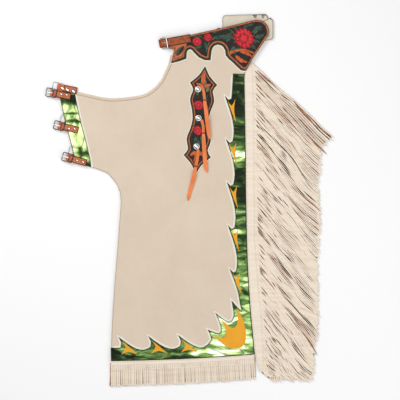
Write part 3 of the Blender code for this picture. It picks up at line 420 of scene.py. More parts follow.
# Border: metallic foil leather down the outseam and along the hem, cut in flames, over a pale edging.
# It is sewn down flat, so it is crumpled only in its surface, and orange tongues lie on its flames.
EDGING_CELL = 5.0
EDGING_TOP, EDGING_LOW = 7.4, 6.8
FOIL_CELL = 3.0
FOIL_TOP, FOIL_LOW = 8.2, 7.5
TONGUE_CELL = 4.0
TONGUE_TOP, TONGUE_LOW = 9.2, 8.5
FOIL_DEPTH = 0.5
SEAM_INSET = 2.2
LINE_STEP = 1.6
KEPT_CLEAR = 0.96
STITCH_PITCH = 4.4
STITCH_LENGTH = 3.1
STITCH_HALF = 0.42
STITCH_ROWS = [
    # height above the leather, share of the full width, from one end of a stitch to the other
    (0.06, 0.6), (0.42, 1.0), (0.42, 1.0), (0.06, 0.6),
]


def smooth_hide(name, colour, deeper, roughness, edge_tone=None):
    """Smooth grain leather: small pebbles and a slow change of shade."""
    material, shader, place = finish_of(name, roughness)
    slow = patchy(material, place, 40.0, 0.25, deeper, 0.75, colour, 4.0)
    coloured(material, shader, slow if edge_tone is None else edge_darkened(material, slow, edge_tone, 1.7))
    pebbles = node(material, "ShaderNodeTexVoronoi", {"Vector": place, "Scale": 900.0}).outputs["Distance"]
    grained(material, shader, pebbles, 0.15, 0.0003)
    return material


PALE = smooth_hide("pale_edging", dyed(240, 236, 222), dyed(228, 222, 204), 0.6)


def pale_edging(node_name, name):
    """A thin pale hide that shows as an even margin round what is sewn down on it."""
    return cut_for(node_name, name, EDGING_CELL, EDGING_TOP, EDGING_LOW, PALE, 0.2)


edging = pale_edging("border_edging", "border_edging_hide")


def crumple(places, length, turn):
    """The creases of thin foil leather: sharp low ridges that run across the strip."""
    c, s = math.cos(math.radians(turn)), math.sin(math.radians(turn))
    heights = []
    for x, y in places:
        u, v = (x * c + y * s) / length, (y * c - x * s) / (length * 0.35)
        first = 1 - 2 * abs(noise.noise(Vector((u, v, 0.3))))
        second = 1 - 2 * abs(noise.noise(Vector((2.3 * u, 2.1 * v, 4.7))))
        heights.append(FOIL_DEPTH * (0.65 * first + 0.35 * second - 0.6))
    return np.array(heights)


# The dark green of a painted edge shade along the foil's cut edge.
FOIL_EDGE_SHADE = dyed(24, 34, 14)
# Painted light on the foil: in these ramps the darkest greens are painted shade and the palest stops painted
# highlights, as painted reflections over the foil's own green.
FOIL_SHADES = [(0.08, dyed(16, 28, 10)), (0.28, dyed(40, 62, 28)), (0.45, dyed(86, 116, 60))]
DEEP_LIGHTS = [(0.60, dyed(122, 154, 84)), (0.75, dyed(200, 226, 152)), (0.86, dyed(252, 255, 240))]


def share_along(material, place, axis, low, high):
    """How far a place lies along the garment, from 0 at the low end to 1 at the high one."""
    split = node(material, "ShaderNodeSeparateXYZ", {"Vector": place})
    return node(material, "ShaderNodeMapRange", {"Value": split.outputs[axis], "From Min": low,
                                                 "From Max": high}).outputs[0]


def painted_light_drift(material, place, axis, low, high, stops):
    """How much lighter or darker the foil's painted light lies along the garment, from stops of place and
    shift.
    """
    along = share_along(material, place, axis, low, high)
    return shades(material, along, [(spot, (0.5 + shift,) * 3 + (1.0,)) for spot, shift in stops])


def stretched(material, place, scale, turn=0.0):
    """A place turned by some degrees and stretched, for a pattern that runs one way."""
    return node(material, "ShaderNodeMapping", {"Vector": place, "Rotation": (0.0, 0.0, math.radians(turn)),
                                                "Scale": scale}).outputs[0]


def worked(material, kind, operation, *values):
    """The result of one sum on numbers or places."""
    return node(material, f"ShaderNode{kind}", dict(enumerate(values)), operation=operation).outputs[0]


def foil(name, cells, turn, painted_light_of, lights):
    """Metallic foil over leather with its reflections painted in: crumpled facets of painted green highlight
    and shade, with painted shade in the dark creases between and along the cut edge.
    """
    material, shader, place = finish_of(name, 0.3, metallic=0.65)
    loose = node(material, "ShaderNodeTexNoise", {"Vector": place, "Scale": 16.0, "Detail": 2.0})
    pushed = worked(material, "VectorMath", "MULTIPLY", loose.outputs["Color"], (0.04, 0.03, 0.0))
    laid = stretched(material, worked(material, "VectorMath", "ADD", place, pushed), (*cells, 1.0), turn)
    facet = node(material, "ShaderNodeTexVoronoi", {"Vector": laid, "Scale": 1.0}).outputs["Color"]
    crease = node(material, "ShaderNodeTexVoronoi", {"Vector": laid, "Scale": 1.0},
                  feature="DISTANCE_TO_EDGE").outputs["Distance"]
    folds = mottle(material, laid, 1.5, 3.0, 0.5)
    # Painted reflections: each facet and fold gets its own painted brightness, shifted by the painted light
    # along the garment.
    lit = worked(material, "Math", "MULTIPLY_ADD", facet, 0.5, -1.12)
    bent_light = worked(material, "Math", "MULTIPLY_ADD", folds, 1.6, lit)
    share = worked(material, "Math", "ADD", bent_light, painted_light_of(material, place))
    bands = shades(material, share, FOIL_SHADES + lights)
    # Painted shade: the colour is darkened in the creases between facets, where shade falls in them.
    crease_shade = shades(material, crease, [(0.0, (0.12, 0.16, 0.10, 1.0)), (0.03, (0.45, 0.5, 0.4, 1.0)),
                                      (0.08, (1.0, 1.0, 1.0, 1.0))])
    crease_shaded = blended(material, 0.75, bands, crease_shade, "MULTIPLY")
    # The foil's colour is darkened over 2.2 mm beside its cut edge: a painted edge shade.
    coloured(material, shader, edge_darkened(material, crease_shaded, FOIL_EDGE_SHADE, 2.2))
    fine = grained(material, shader, mottle(material, place, 420.0, 3.0), 0.25, 0.0004)
    pressed = grained(material, shader, folds, 0.5, 0.003, fine)
    grained(material, shader, crease, 0.3, 0.002, pressed)
    return material


def border_painted_light(material, place):
    """Painted light along the border: painted shade at the seat, a painted highlight on one fold below it,
    painted shade again at the knee, and a painted highlight in the hem's corner.
    """
    side = painted_light_drift(material, place, "Y", -0.43, 0.36, [
        (0.10, 0.24), (0.17, 0.2), (0.25, 0.04), (0.38, 0.04), (0.49, -0.04), (0.56, -0.2), (0.62, -0.16),
        (0.66, 0.02), (0.686, 0.04), (0.694, 0.48), (0.703, 0.48), (0.712, 0.04), (0.78, -0.12), (0.86, -0.3),
        (1.0, -0.34)])
    hem = painted_light_drift(material, place, "X", -0.21, 0.17, [
        (0.0, -0.17), (0.42, -0.15), (0.55, -0.02), (0.66, 0.16), (0.74, 0.42), (0.86, 0.4), (0.95, 0.2),
        (1.0, 0.06)])
    return blended(material, share_along(material, place, "Y", -0.31, -0.36), side, hem)


def sideways(line):
    """The direction to the left of a line at each of its points."""
    run = np.gradient(line[:, :2], axis=0)
    run /= np.maximum(np.linalg.norm(run, axis=1), 1e-9)[:, None]
    return np.stack([-run[:, 1], run[:, 0]], axis=1)


def slab(upper, lower):
    """Points and faces of a closed piece between two grids of points with the same rows."""
    rows, columns = len(upper), len(upper[0])
    count = rows * columns
    points = [tuple(map(float, p)) for grid in (upper, lower) for row in grid for p in row]
    faces = []
    for r in range(rows - 1):
        for c in range(columns - 1):
            a = r * columns + c
            faces.append((a, a + 1, a + 1 + columns, a + columns))
            faces.append((count + a, count + a + columns, count + a + 1 + columns, count + a + 1))
    rim = [r * columns for r in range(rows)] + [(rows - 1) * columns + c for c in range(1, columns)]
    rim += [r * columns + columns - 1 for r in range(rows - 2, -1, -1)] + list(range(columns - 2, 0, -1))
    faces += [(a, b, count + b, count + a) for a, b in zip(rim, rim[1:] + rim[:1])]
    return points, faces


def stacked(name, parts, finishes):
    """Several small forms joined as one piece; each part is points, faces and the number of its finish."""
    points, faces, marks = [], [], []
    for spots, sides, mark in parts:
        faces += [tuple(i + len(points) for i in face) for face in sides]
        marks += [mark] * len(sides)
        points += spots
    made = piece_of(name, points, faces, finishes[0], smooth=50.0)
    for other in finishes[1:]:
        made.data.materials.append(other)
    made.data.polygons.foreach_set("material_index", marks)
    shape = bmesh.new()
    shape.from_mesh(made.data)
    bmesh.ops.recalc_face_normals(shape, faces=shape.faces[:])
    shape.to_mesh(made.data)
    shape.free()
    return made


def pulled_in(loop, distance):
    """A closed outline moved in by a distance, without the points that would cross over."""
    line = np.array(spaced(loop, LINE_STEP))
    run = np.roll(line, -1, axis=0) - np.roll(line, 1, axis=0)
    run /= np.maximum(np.linalg.norm(run, axis=1), 1e-9)[:, None]
    moved = line + distance * np.stack([-run[:, 1], run[:, 0]], axis=1)
    far, inside = edge_distance(moved, [[tuple(p) for p in line]])
    return [tuple(p) for p, d, held in zip(moved, far, inside) if held and d > distance * KEPT_CLEAR]


def sewn(line, face, half=STITCH_HALF):
    """Stitches round a closed line: short rounded threads, each pulled down a little at its ends."""
    ring = np.array([*line, line[0]], float)
    along = np.concatenate([[0.0], np.cumsum(np.linalg.norm(np.diff(ring, axis=0), axis=1))])
    starts = np.arange(STITCH_PITCH / 2, along[-1] - STITCH_LENGTH, STITCH_PITCH)
    count = len(STITCH_ROWS)
    spots = (starts[:, None] + np.linspace(0.0, STITCH_LENGTH, count)).ravel()
    flat = np.stack([np.interp(spots, along, ring[:, i]) for i in (0, 1)], axis=1)
    level = heights_of(face, flat)
    parts = []
    for k in range(0, len(flat), count):
        path = flat[k:k + count]
        upper, lower = [], []
        for spot, side, z, (rise, wide) in zip(path, sideways(path), level[k:k + count], STITCH_ROWS):
            row = [(*(spot + side * half * wide * u), z + rise * (1 - 0.8 * abs(u)))
                   for u in (-1.0, 0.0, 1.0)]
            upper.append(row)
            lower.append([(x, y, z - 0.12) for x, y, _ in row])
        parts.append((*slab(upper, lower), 0))
    return parts


def seam(name, node_name, inset, face, twine, level=None):
    """A row of stitches inside a node's cut edge."""
    return stacked(name, sewn(pulled_in(edge_of(node_name, level)[0], inset), face), [twine])


def thread(name, colour):
    """Waxed sewing thread, with the twist of its plies."""
    material, shader, place = finish_of(name, 0.6, sheen=0.1)
    deeper = dyed(*[0.8 * c for c in colour])
    coloured(material, shader, patchy(material, place, 700.0, 0.3, deeper, 0.7, dyed(*colour)))
    plies = node(material, "ShaderNodeTexWave", {"Vector": place, "Scale": 900.0}).outputs["Fac"]
    grained(material, shader, plies, 0.3, 0.0002)
    return material


FOIL = foil("green_foil", (13.0, 44.0), 14.0, border_painted_light, DEEP_LIGHTS)
GREEN_THREAD = thread("green_thread", (58, 76, 40))


def foil_piece(node_name, name, finish, length, turn):
    """A crumpled piece of foil leather and the stitches inside its edge."""
    def top(places):
        return FOIL_TOP + crumple(places, length, turn)
    sheet = cut_for(node_name, f"{name}_foil", FOIL_CELL, top, FOIL_LOW, finish, 0.15)
    return [sheet, seam(f"{name}_stitches", node_name, SEAM_INSET, top, GREEN_THREAD)]


border = foil_piece("border_green", "border", FOIL, 34.0, 8.0)

TONGUE = smooth_hide("orange_leather", dyed(242, 172, 40), dyed(232, 156, 30), 0.5)
TONGUES = [f"side_tongue_{k}" for k in range(1, 6)] + [f"hem_tongue_{k}" for k in range(1, 4)]
TONGUES.append("corner_tongues")
tongues = [cut_for(name, f"{name}_hide", TONGUE_CELL, TONGUE_TOP, TONGUE_LOW, TONGUE, 0.25)
           for name in TONGUES]

# Thigh end: a band of the same foil, painted brighter and more creased, with a pale edging beside it.
# The leg is narrow here, and the band carries the three thigh straps.
# The brighter band's ramp: its palest stops are painted highlights.
LIME_LIGHTS = [(0.56, dyed(164, 198, 116)), (0.68, dyed(212, 232, 160)), (0.95, dyed(240, 248, 200))]
band_edging = pale_edging("thigh_band_edging", "thigh_edging_hide")


def band_painted_light(material, place):
    """Painted light along the band: painted highlight along most of the thigh, with painted shade at a few
    folds across it and at its ends.
    """
    return painted_light_drift(material, place, "Y", 0.085, 0.27, [
        (0.03, -0.2), (0.11, 0.18), (0.16, 0.22), (0.21, -0.1), (0.25, 0.1), (0.30, 0.32), (0.48, 0.38),
        (0.62, 0.36), (0.655, 0.1), (0.69, 0.34), (0.74, 0.3), (0.76, 0.0), (0.79, 0.28), (0.87, 0.2),
        (0.93, -0.1), (1.0, -0.3)])


BRIGHT_FOIL = foil("bright_green_foil", (22.0, 15.0), -14.0, band_painted_light, LIME_LIGHTS)
thigh_band = foil_piece("thigh_band", "thigh_band", BRIGHT_FOIL, 26.0, 70.0)

# Yoke: tooled leather, dyed dark between a tan rim, roses and leaves, on a dark underlay and a pale edging.
# The rim is left at the leather's full thickness, and the ground and flowers are carved and stamped into it.
UNDERLAY_TOP, UNDERLAY_LOW = 8.3, 7.7
TOOLED_LOW = 8.6
RIM_CELL = 2.4
PATH_STEP = 2.0
GROUND_CELL = 3.0
SUNK = 0.1
YOKE_GROUND = 10.5
YOKE_FOOT = YOKE_GROUND - SUNK
YOKE_RIM = 11.5
YOKE_RIM_WIDTH = 5.4
THREAD_SUNK = 0.06
PETAL_RINGS = [
    # petals, start and end along the radius, rise, turn, finish
    (15, 0.34, 1.06, 0.5, 0.0, 0), (13, 0.30, 0.88, 0.7, 0.45, 1), (9, 0.16, 0.64, 0.9, 0.1, 0),
    (5, 0.03, 0.38, 1.15, 0.5, 1),
]
YOKE_ROSES = [
    # across, up, radius
    (-7.8, 412.0, 12.0), (20.6, 423.0, 10.5), (114.0, 420.5, 26.0),
]
YOKE_LEAVES = [
    # foot, tip, bend, half width
    ((-64.0, 377.0), (-45.0, 400.0), 3.0, 5.5), ((4.0, 400.0), (-15.0, 389.0), -3.0, 4.0),
    ((12.0, 410.0), (17.0, 386.0), 3.0, 4.6), ((6.0, 427.0), (-18.0, 425.0), 2.0, 3.0),
    ((32.0, 434.0), (64.0, 445.0), 3.0, 4.4), ((34.0, 422.0), (62.0, 430.0), -3.0, 4.6),
    ((56.0, 420.0), (86.0, 440.0), -4.0, 5.0), ((68.0, 412.0), (88.0, 424.0), 3.0, 4.4),
    ((90.0, 400.0), (76.0, 384.0), 3.0, 5.0), ((102.0, 396.0), (90.0, 376.0), -3.0, 4.4),
    ((138.0, 434.0), (163.0, 452.0), 4.0, 5.4), ((142.0, 424.0), (169.0, 434.0), -4.0, 5.2),
    ((138.0, 410.0), (158.0, 408.0), 3.0, 4.6), ((130.0, 400.0), (146.0, 390.0), 3.0, 4.4),
    ((112.0, 447.0), (142.0, 459.0), 2.0, 4.0), ((98.0, 442.0), (76.0, 451.0), -2.0, 3.2),
]
YOKE_STEMS = [
    [(30.0, 416.0), (46.0, 425.0), (66.0, 428.0), (86.0, 426.0)],
    [(24.0, 410.0), (20.0, 398.0), (15.0, 382.0)],
    [(88.0, 434.0), (72.0, 446.0), (48.0, 443.0)],
    [(140.0, 430.0), (152.0, 442.0), (162.0, 444.0)],
]
FLAP_SIDE = -34.0
TEARDROP = [(-60.5, 376.0), (-61.0, 382.0), (-57.0, 390.0), (-50.0, 396.5), (-42.0, 400.0), (-44.0, 392.0),
            (-49.0, 383.0), (-55.0, 377.0)]


def tooling(name, colour, deep, roughness=0.42, relief=0.35, edge_tone=None):
    """Tooled leather: dye in darker and paler patches, small pores, a waxed surface, and inked edges."""
    material, shader, place = finish_of(name, roughness, coat=0.06)
    pooled = patchy(material, place, 130.0, 0.32, deep, 0.62, colour, 4.0, 0.6)
    coloured(material, shader, pooled if edge_tone is None else edge_darkened(material, pooled, edge_tone, 1.5))
    stamped = node(material, "ShaderNodeTexVoronoi", {"Vector": place, "Scale": 620.0}).outputs["Distance"]
    grained(material, shader, stamped, relief, 0.0004)
    return material


RIM_TAN = tooling("tan_rim", dyed(206, 116, 66), dyed(160, 80, 38), edge_tone=dyed(84, 40, 18))
DYED_GROUND = tooling("dyed_ground", dyed(34, 30, 24), dyed(9, 9, 7), 0.55, 0.6)
DARK_GREEN = smooth_hide("dark_underlay", dyed(50, 56, 32), dyed(30, 38, 22), 0.45)
ROSE_RED = tooling("rose_red", dyed(226, 44, 54), dyed(190, 24, 36), 0.45, 0.2)
ROSE_DEEP = tooling("rose_deep_red", dyed(182, 18, 30), dyed(96, 8, 16), 0.45, 0.2)
LEAF_GREEN = tooling("leaf_green", dyed(58, 88, 68), dyed(22, 38, 28), 0.45, 0.2)
STEM_GREEN = tooling("stem_green", dyed(112, 112, 84), dyed(58, 62, 44), 0.45, 0.2)
SCROLL_TAN = tooling("scroll_tan", dyed(208, 104, 50), dyed(166, 62, 26), 0.42, 0.25)


def bent(points, step):
    """A smooth line through a few points, with a point about every step."""
    rows = [np.array(p, float) for p in (points[0], *points, points[-1])]
    line = []
    for i in range(len(points) - 1):
        before, start, end, after = rows[i:i + 4]
        count = max(1, round(float(np.linalg.norm(end[:2] - start[:2])) / step))
        for k in range(count):
            t = k / count
            line.append(0.5 * (2 * start + (end - before) * t
                               + (2 * before - 5 * start + 4 * end - after) * t ** 2
                               + (3 * start - before - 3 * end + after) * t ** 3))
    return np.array([*line, rows[-1]])


def carved(path, halves, low, rise, vein=0.0, across=7):
    """A tooled leaf, petal or scroll: a crowned form along a path, with its vein cut down the middle."""
    upper, lower = [], []
    for spot, side, half in zip(path, sideways(path), halves):
        shares = np.linspace(-1.0, 1.0, across)
        flat = [spot[:2] + side * max(half, 0.05) * u for u in shares]
        crown = [rise * (1 - abs(u) ** 2.6) - vein * math.exp(-(u / 0.25) ** 2) for u in shares]
        upper.append([(*p, low + 0.1 + h) for p, h in zip(flat, crown)])
        lower.append([(*p, low) for p in flat])
    return slab(upper, lower)


def backed(name):
    """The pale edging and the dark underlay beneath a tooled piece."""
    underlay = f"{name}_underlay"
    return [pale_edging(f"{name}_edging", f"{name}_edging_hide"),
            cut_for(underlay, f"{underlay}_hide", EDGING_CELL, UNDERLAY_TOP, UNDERLAY_LOW, DARK_GREEN,
                    0.2)]


def tooled_panel(name, rim_width, ground, top):
    """The rim and the sunken ground of a tooled piece, as two hides; they stand for its node."""
    outline = edge_of(f"{name}_tooled")[0]
    rim = hide(f"{name}_rim", [outline, pulled_in(outline, rim_width)], RIM_CELL, top, TOOLED_LOW, RIM_TAN,
               0.55)
    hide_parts(f"{name}_tooled")
    sunk = hide(f"{name}_ground", [pulled_in(outline, rim_width - 0.8)], GROUND_CELL, ground,
                TOOLED_LOW + SUNK, DYED_GROUND, 0)
    return [rim, sunk]


def petal_halves(count, width):
    """Half widths of a rose's petal, from its foot to its pointed tip."""
    shares = [k / (count - 1) for k in range(count)]
    return [width * max(0.04, math.sin(math.pi * (0.14 + 0.86 * share)) ** 0.9) for share in shares]


def leaf_halves(count, width):
    """Half widths of a leaf with a scalloped edge, from its foot to its point."""
    return [width * max(0.04, math.sin(math.pi * (k / (count - 1)) ** 0.8) ** 0.8)
            * (1 + 0.12 * math.sin(5.2 * k)) for k in range(count)]


def rose(across, up, radius, low):
    """A rose in relief: three rings of petals round a bud, each ring lying over the last."""
    parts = []
    for count, start, reach, rise, spin, mark in PETAL_RINGS:
        for k in range(count):
            turn = 2 * math.pi * (k + spin) / count
            reach_here = reach * (0.86 + 0.26 * abs(math.sin(12.9898 * k + count)))
            path = [(across + radius * s * math.cos(turn + 0.25 * s),
                     up + radius * s * math.sin(turn + 0.25 * s)) for s in np.linspace(start, reach_here, 6)]
            wide = radius * reach * math.pi / count * 1.1
            parts.append((*carved(np.array(path), petal_halves(6, wide), low, rise, vein=rise * 0.35), mark))
    return parts


def leaf(foot, tip, bow, half, low, rise, mark):
    """A pointed leaf in relief, bowed to one side, with its vein."""
    away = np.array(tip, float) - np.array(foot, float)
    middle = (np.array(foot) + np.array(tip)) / 2 + bow * np.array([-away[1], away[0]]) / np.linalg.norm(away)
    path = bent([foot, tuple(middle), tip], PATH_STEP)
    return (*carved(path, leaf_halves(len(path), half), low, rise, vein=rise * 0.5), mark)


def stem(points, half, low, rise, mark):
    """A tapering stem in relief."""
    path = bent(points, PATH_STEP)
    return (*carved(path, np.linspace(half, half * 0.35, len(path)), low, rise, across=5), mark)


yoke = backed("yoke") + tooled_panel("yoke", YOKE_RIM_WIDTH, YOKE_GROUND, YOKE_RIM)
roses = [part for across, up, radius in YOKE_ROSES for part in rose(across, up, radius, YOKE_FOOT)]
yoke.append(stacked("yoke_roses", roses, [ROSE_DEEP, ROSE_RED]))
greens = [leaf(*row, YOKE_FOOT, 0.8, 0) for row in YOKE_LEAVES]
greens += [stem(row, 1.3, YOKE_FOOT, 0.5, 1) for row in YOKE_STEMS]
yoke.append(stacked("yoke_leaves", greens, [LEAF_GREEN, STEM_GREEN]))
scroll = [stem([(72.0, 380.0), (92.0, 388.0), (116.0, 390.0), (140.0, 382.0)], 5.0, YOKE_FOOT, 0.9, 0),
          leaf((92.0, 376.0), (124.0, 358.0), -4.0, 5.0, YOKE_FOOT, 0.8, 0),
          leaf((104.0, 386.0), (136.0, 372.0), 3.0, 4.4, YOKE_FOOT, 0.8, 0)]
yoke.append(stacked("yoke_scroll", scroll, [SCROLL_TAN]))

TAN_THREAD = thread("tan_thread", (112, 66, 36))
yoke_seam = seam("yoke_stitches", "yoke_tooled", 2.0, YOKE_RIM - THREAD_SUNK, TAN_THREAD)
flap = []
loop = pulled_in(edge_of("yoke_tooled")[0], YOKE_RIM_WIDTH - 1.6)
for a, b in zip(loop, loop[1:] + loop[:1]):
    if a[0] <= FLAP_SIDE:
        flap.append(a)
    if (a[0] <= FLAP_SIDE) != (b[0] <= FLAP_SIDE):
        flap.append((FLAP_SIDE, a[1] + (b[1] - a[1]) * (FLAP_SIDE - a[0]) / (b[0] - a[0])))
yoke_flap = hide("yoke_flap", [flap, TEARDROP], RIM_CELL, YOKE_GROUND + 0.6, YOKE_FOOT, RIM_TAN,
                 0.2)

# Thigh patch: a smaller piece of the same tooling, on the same underlay and edging.
# Two roses and a spray of leaves lie down its middle, with tan leaves in its tips.
PATCH_CENTRE = (1.0, 208.0)
PATCH_TILT = 5.0
PATCH_GROUND = 10.1
PATCH_FOOT = PATCH_GROUND - SUNK
PATCH_RIM = 10.9
PATCH_RIM_WIDTH = 4.6
PATCH_ROSES = [
    # side, down, radius
    (-8.0, -38.0, 12.5), (-5.0, 28.0, 12.0),
]
PATCH_LEAVES = [
    # foot, tip, bend, half width, finish
    ((2.0, -78.0), (6.0, -104.0), 2.0, 6.0, 1), ((8.0, -74.0), (15.0, -92.0), -2.0, 4.0, 1),
    ((-12.0, -62.0), (-16.0, -82.0), 1.0, 3.6, 0), ((8.0, -46.0), (14.0, -66.0), 2.0, 4.4, 0),
    ((10.0, -20.0), (12.0, -40.0), -2.0, 4.0, 0), ((-9.0, -12.0), (-11.0, 8.0), 2.0, 3.6, 0),
    ((8.0, 8.0), (10.0, 24.0), 2.0, 3.6, 0), ((-8.0, 44.0), (-11.0, 66.0), 2.0, 4.4, 0),
    ((8.0, 40.0), (11.0, 62.0), -2.0, 4.2, 0), ((-2.0, 52.0), (0.0, 76.0), 2.0, 4.2, 0),
]
PATCH_TIPS = [
    # foot, tip, bend, half width
    ((0.0, -92.0), (0.0, -126.0), 1.5, 6.0), ((0.0, -90.0), (-19.0, -95.0), 2.0, 4.6),
    ((0.0, -90.0), (19.0, -95.0), -2.0, 4.6), ((0.0, 86.0), (0.0, 124.0), -1.5, 6.5),
    ((0.0, 84.0), (-19.0, 95.0), -2.0, 4.6), ((0.0, 84.0), (19.0, 95.0), 2.0, 4.6),
]


def on_patch(side, down):
    """A place on the patch, from its long axis and its middle."""
    c, s = math.cos(math.radians(PATCH_TILT)), math.sin(math.radians(PATCH_TILT))
    return (PATCH_CENTRE[0] + side * c - down * s, PATCH_CENTRE[1] - side * s - down * c)


patch = backed("patch") + tooled_panel("patch", PATCH_RIM_WIDTH, PATCH_GROUND, PATCH_RIM)
roses = [part for side, down, radius in PATCH_ROSES
         for part in rose(*on_patch(side, down), radius, PATCH_FOOT)]
patch.append(stacked("patch_roses", roses, [ROSE_DEEP, ROSE_RED]))
greens = [leaf(on_patch(*foot), on_patch(*tip), bend, half, PATCH_FOOT, 0.7, mark)
          for foot, tip, bend, half, mark in PATCH_LEAVES]
patch.append(stacked("patch_leaves", greens, [LEAF_GREEN, STEM_GREEN]))
tips = [leaf(on_patch(*foot), on_patch(*tip), bend, half, PATCH_FOOT, 0.8, 0)
        for foot, tip, bend, half in PATCH_TIPS]
patch.append(stacked("patch_tips", tips, [SCROLL_TAN]))
patch_seam = seam("patch_stitches", "patch_tooled", 1.7, PATCH_RIM - THREAD_SUNK, TAN_THREAD)

# Conchos: domed nickel buttons with a fluted rim, screwed through the patch.
# Each holds a tie, which is three laces braided together that end in one flat pointed tail.
CONCHOS = [(-5.2, 288.0), (-3.9, 213.0), (-9.0, 139.0)]
CONCHO_FOOT = 11.2
CONCHO_SIDES = 72
FLUTES = 18
CONCHO_PROFILE = [
    # radius, height, fluting
    (7.6, 11.3, 0.0), (7.9, 11.7, 0.3), (7.6, 12.4, 0.35), (6.9, 12.7, 0.3), (6.2, 12.6, 0.1),
    (5.9, 13.0, 0.0), (5.5, 14.0, 0.0), (4.6, 15.1, 0.0), (3.2, 15.8, 0.0), (1.6, 16.1, 0.0), (0.3, 16.2, 0.0),
]
TIES = [
    # across, up, height of the middle, half width; the first two rows are the braid
    [(3.5, 297.0, 12.6, 0.0), (9.5, 281.0, 12.5, 0.0), (12.0, 258.0, 12.5, 3.6), (13.0, 250.0, 12.5, 4.6),
     (15.5, 232.0, 14.8, 5.0), (18.5, 207.0, 15.0, 5.2), (22.5, 176.0, 12.8, 4.8), (24.4, 163.0, 12.4, 3.4),
     (24.8, 158.0, 12.4, 0.3)],
    [(4.0, 209.0, 12.6, 0.0), (8.0, 192.0, 12.5, 0.0), (8.8, 172.0, 12.5, 3.6), (9.2, 164.0, 12.5, 4.6),
     (10.4, 143.0, 12.5, 5.2), (13.4, 98.0, 12.5, 5.2), (15.6, 80.0, 11.6, 4.2), (16.4, 72.0, 10.8, 0.3)],
    [(-5.0, 131.0, 12.6, 0.0), (-5.5, 115.0, 12.5, 0.0), (-11.0, 86.0, 12.5, 3.6), (-13.0, 78.0, 12.4, 4.6),
     (-16.0, 61.0, 11.8, 5.2), (-19.0, 48.0, 9.8, 5.2), (-25.0, 26.0, 8.2, 5.0), (-30.2, 5.0, 8.1, 3.8),
     (-31.5, -2.0, 8.1, 0.3)],
]
BRAID_PITCH = 15.0
BRAID_SWING = 2.7
BRAID_RISE = 0.75
LACE_HALF = 1.3
SHADE_STRIP_HALF = 3.3
TAIL_THICK = 1.8


def plated(name, dull, bright, roughness):
    """Nickel plate: metal with a faint cloud of wear and fine scratches."""
    material, shader, place = finish_of(name, roughness, metallic=1.0)
    coloured(material, shader, patchy(material, place, 300.0, 0.3, dull, 0.7, bright, 3.0))
    scratched = stretched(material, place, (2400.0, 300.0, 300.0))
    grained(material, shader, mottle(material, scratched, 1.0, 2.0), 0.08, 0.0002)
    return material


NICKEL = plated("nickel", dyed(196, 195, 192), dyed(236, 235, 230), 0.2)


def lathed(across, up, profile, sides, flutes=0):
    """Rings of points round an upright axis, from rows of radius, height and fluting, and their faces."""
    points, faces = [], []
    for radius, height, flute in profile:
        for side in range(sides):
            turn = 2 * math.pi * side / sides
            reach = radius + flute * math.cos(flutes * turn)
            points.append((across + reach * math.cos(turn), up + reach * math.sin(turn), height))
    for ring in range(len(profile) - 1):
        for side in range(sides):
            a, b = ring * sides + side, ring * sides + (side + 1) % sides
            faces.append((a, b, b + sides, a + sides))
    return points, faces


for k, (across, up) in enumerate(CONCHOS):
    points, faces = lathed(across, up, CONCHO_PROFILE, CONCHO_SIDES, FLUTES)
    faces.append(tuple(range(len(points) - CONCHO_SIDES, len(points))))
    faces += [((side + 1) % CONCHO_SIDES, side, len(points)) for side in range(CONCHO_SIDES)]
    points.append((across, up, CONCHO_FOOT))
    button = piece_of(f"concho_button_{k + 1}", points, faces, NICKEL, 35.0)
    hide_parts(f"concho_{k + 1}")


def strip(path, halves, thick, round_over=0.35, across=7):
    """A flat leather strip with rounded edges along a path in space."""
    upper, lower = [], []
    for spot, side, half in zip(path, sideways(path), halves):
        row, under = [], []
        for u in np.linspace(-1.0, 1.0, across):
            drop = round_over * abs(u) ** 5
            x, y = spot[:2] + side * max(half, 0.05) * u
            row.append((x, y, spot[2] + thick / 2 - drop))
            under.append((x, y, spot[2] - thick / 2 + drop))
        upper.append(row)
        lower.append(under)
    return slab(upper, lower)


LACE = smooth_hide("tie_leather", dyed(243, 143, 82), dyed(222, 114, 58), 0.5)
# A painted shade brown: it is used for a dark strip under each braid and for its knot, where shade falls
# between the laces.
LACE_PAINTED_SHADE = smooth_hide("tie_leather_painted_shade", dyed(132, 50, 22), dyed(98, 34, 14), 0.5)
for k, rows in enumerate(TIES):
    braid = bent([row[:3] for row in rows[:3]], 1.1)
    steps = np.linalg.norm(np.diff(braid, axis=0), axis=1)
    along = np.concatenate([[0.0], np.cumsum(steps)])
    parts = []
    for lace in range(3):
        turns = 2 * math.pi * (along / BRAID_PITCH + lace / 3)
        path = braid.copy()
        path[:, :2] += sideways(braid) * (BRAID_SWING * np.sin(turns))[:, None]
        path[:, 2] += BRAID_RISE * np.sin(2 * turns) - 0.1
        parts.append((*strip(path, [LACE_HALF] * len(path), 1.2, 0.3, 5), 0))
    # Painted shade: a dark strip under the braid, wider than it, shows between the laces.
    parts.append((*strip(braid + np.array([0.0, 0.0, -0.5]), [SHADE_STRIP_HALF] * len(braid), 0.5, 0.1, 3), 1))
    tail = bent(rows[2:], 3.0)
    parts.append((*strip(tail[:, :3], tail[:, 3], TAIL_THICK), 0))
    # The knot near the braid's end is also in the painted shade brown.
    x, y, z = braid[-4]
    knot = [(x + side * 3.4, y - 0.4 * abs(side), z + 0.6) for side in (-1, 0, 1)]
    parts.append((*strip(bent(knot, 0.8), [1.8] * 9, 1.3, 0.3, 5), 1))
    tie = stacked(f"tie_braid_{k + 1}", parts, [LACE, LACE_PAINTED_SHADE])
    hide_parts(f"tie_{k + 1}")

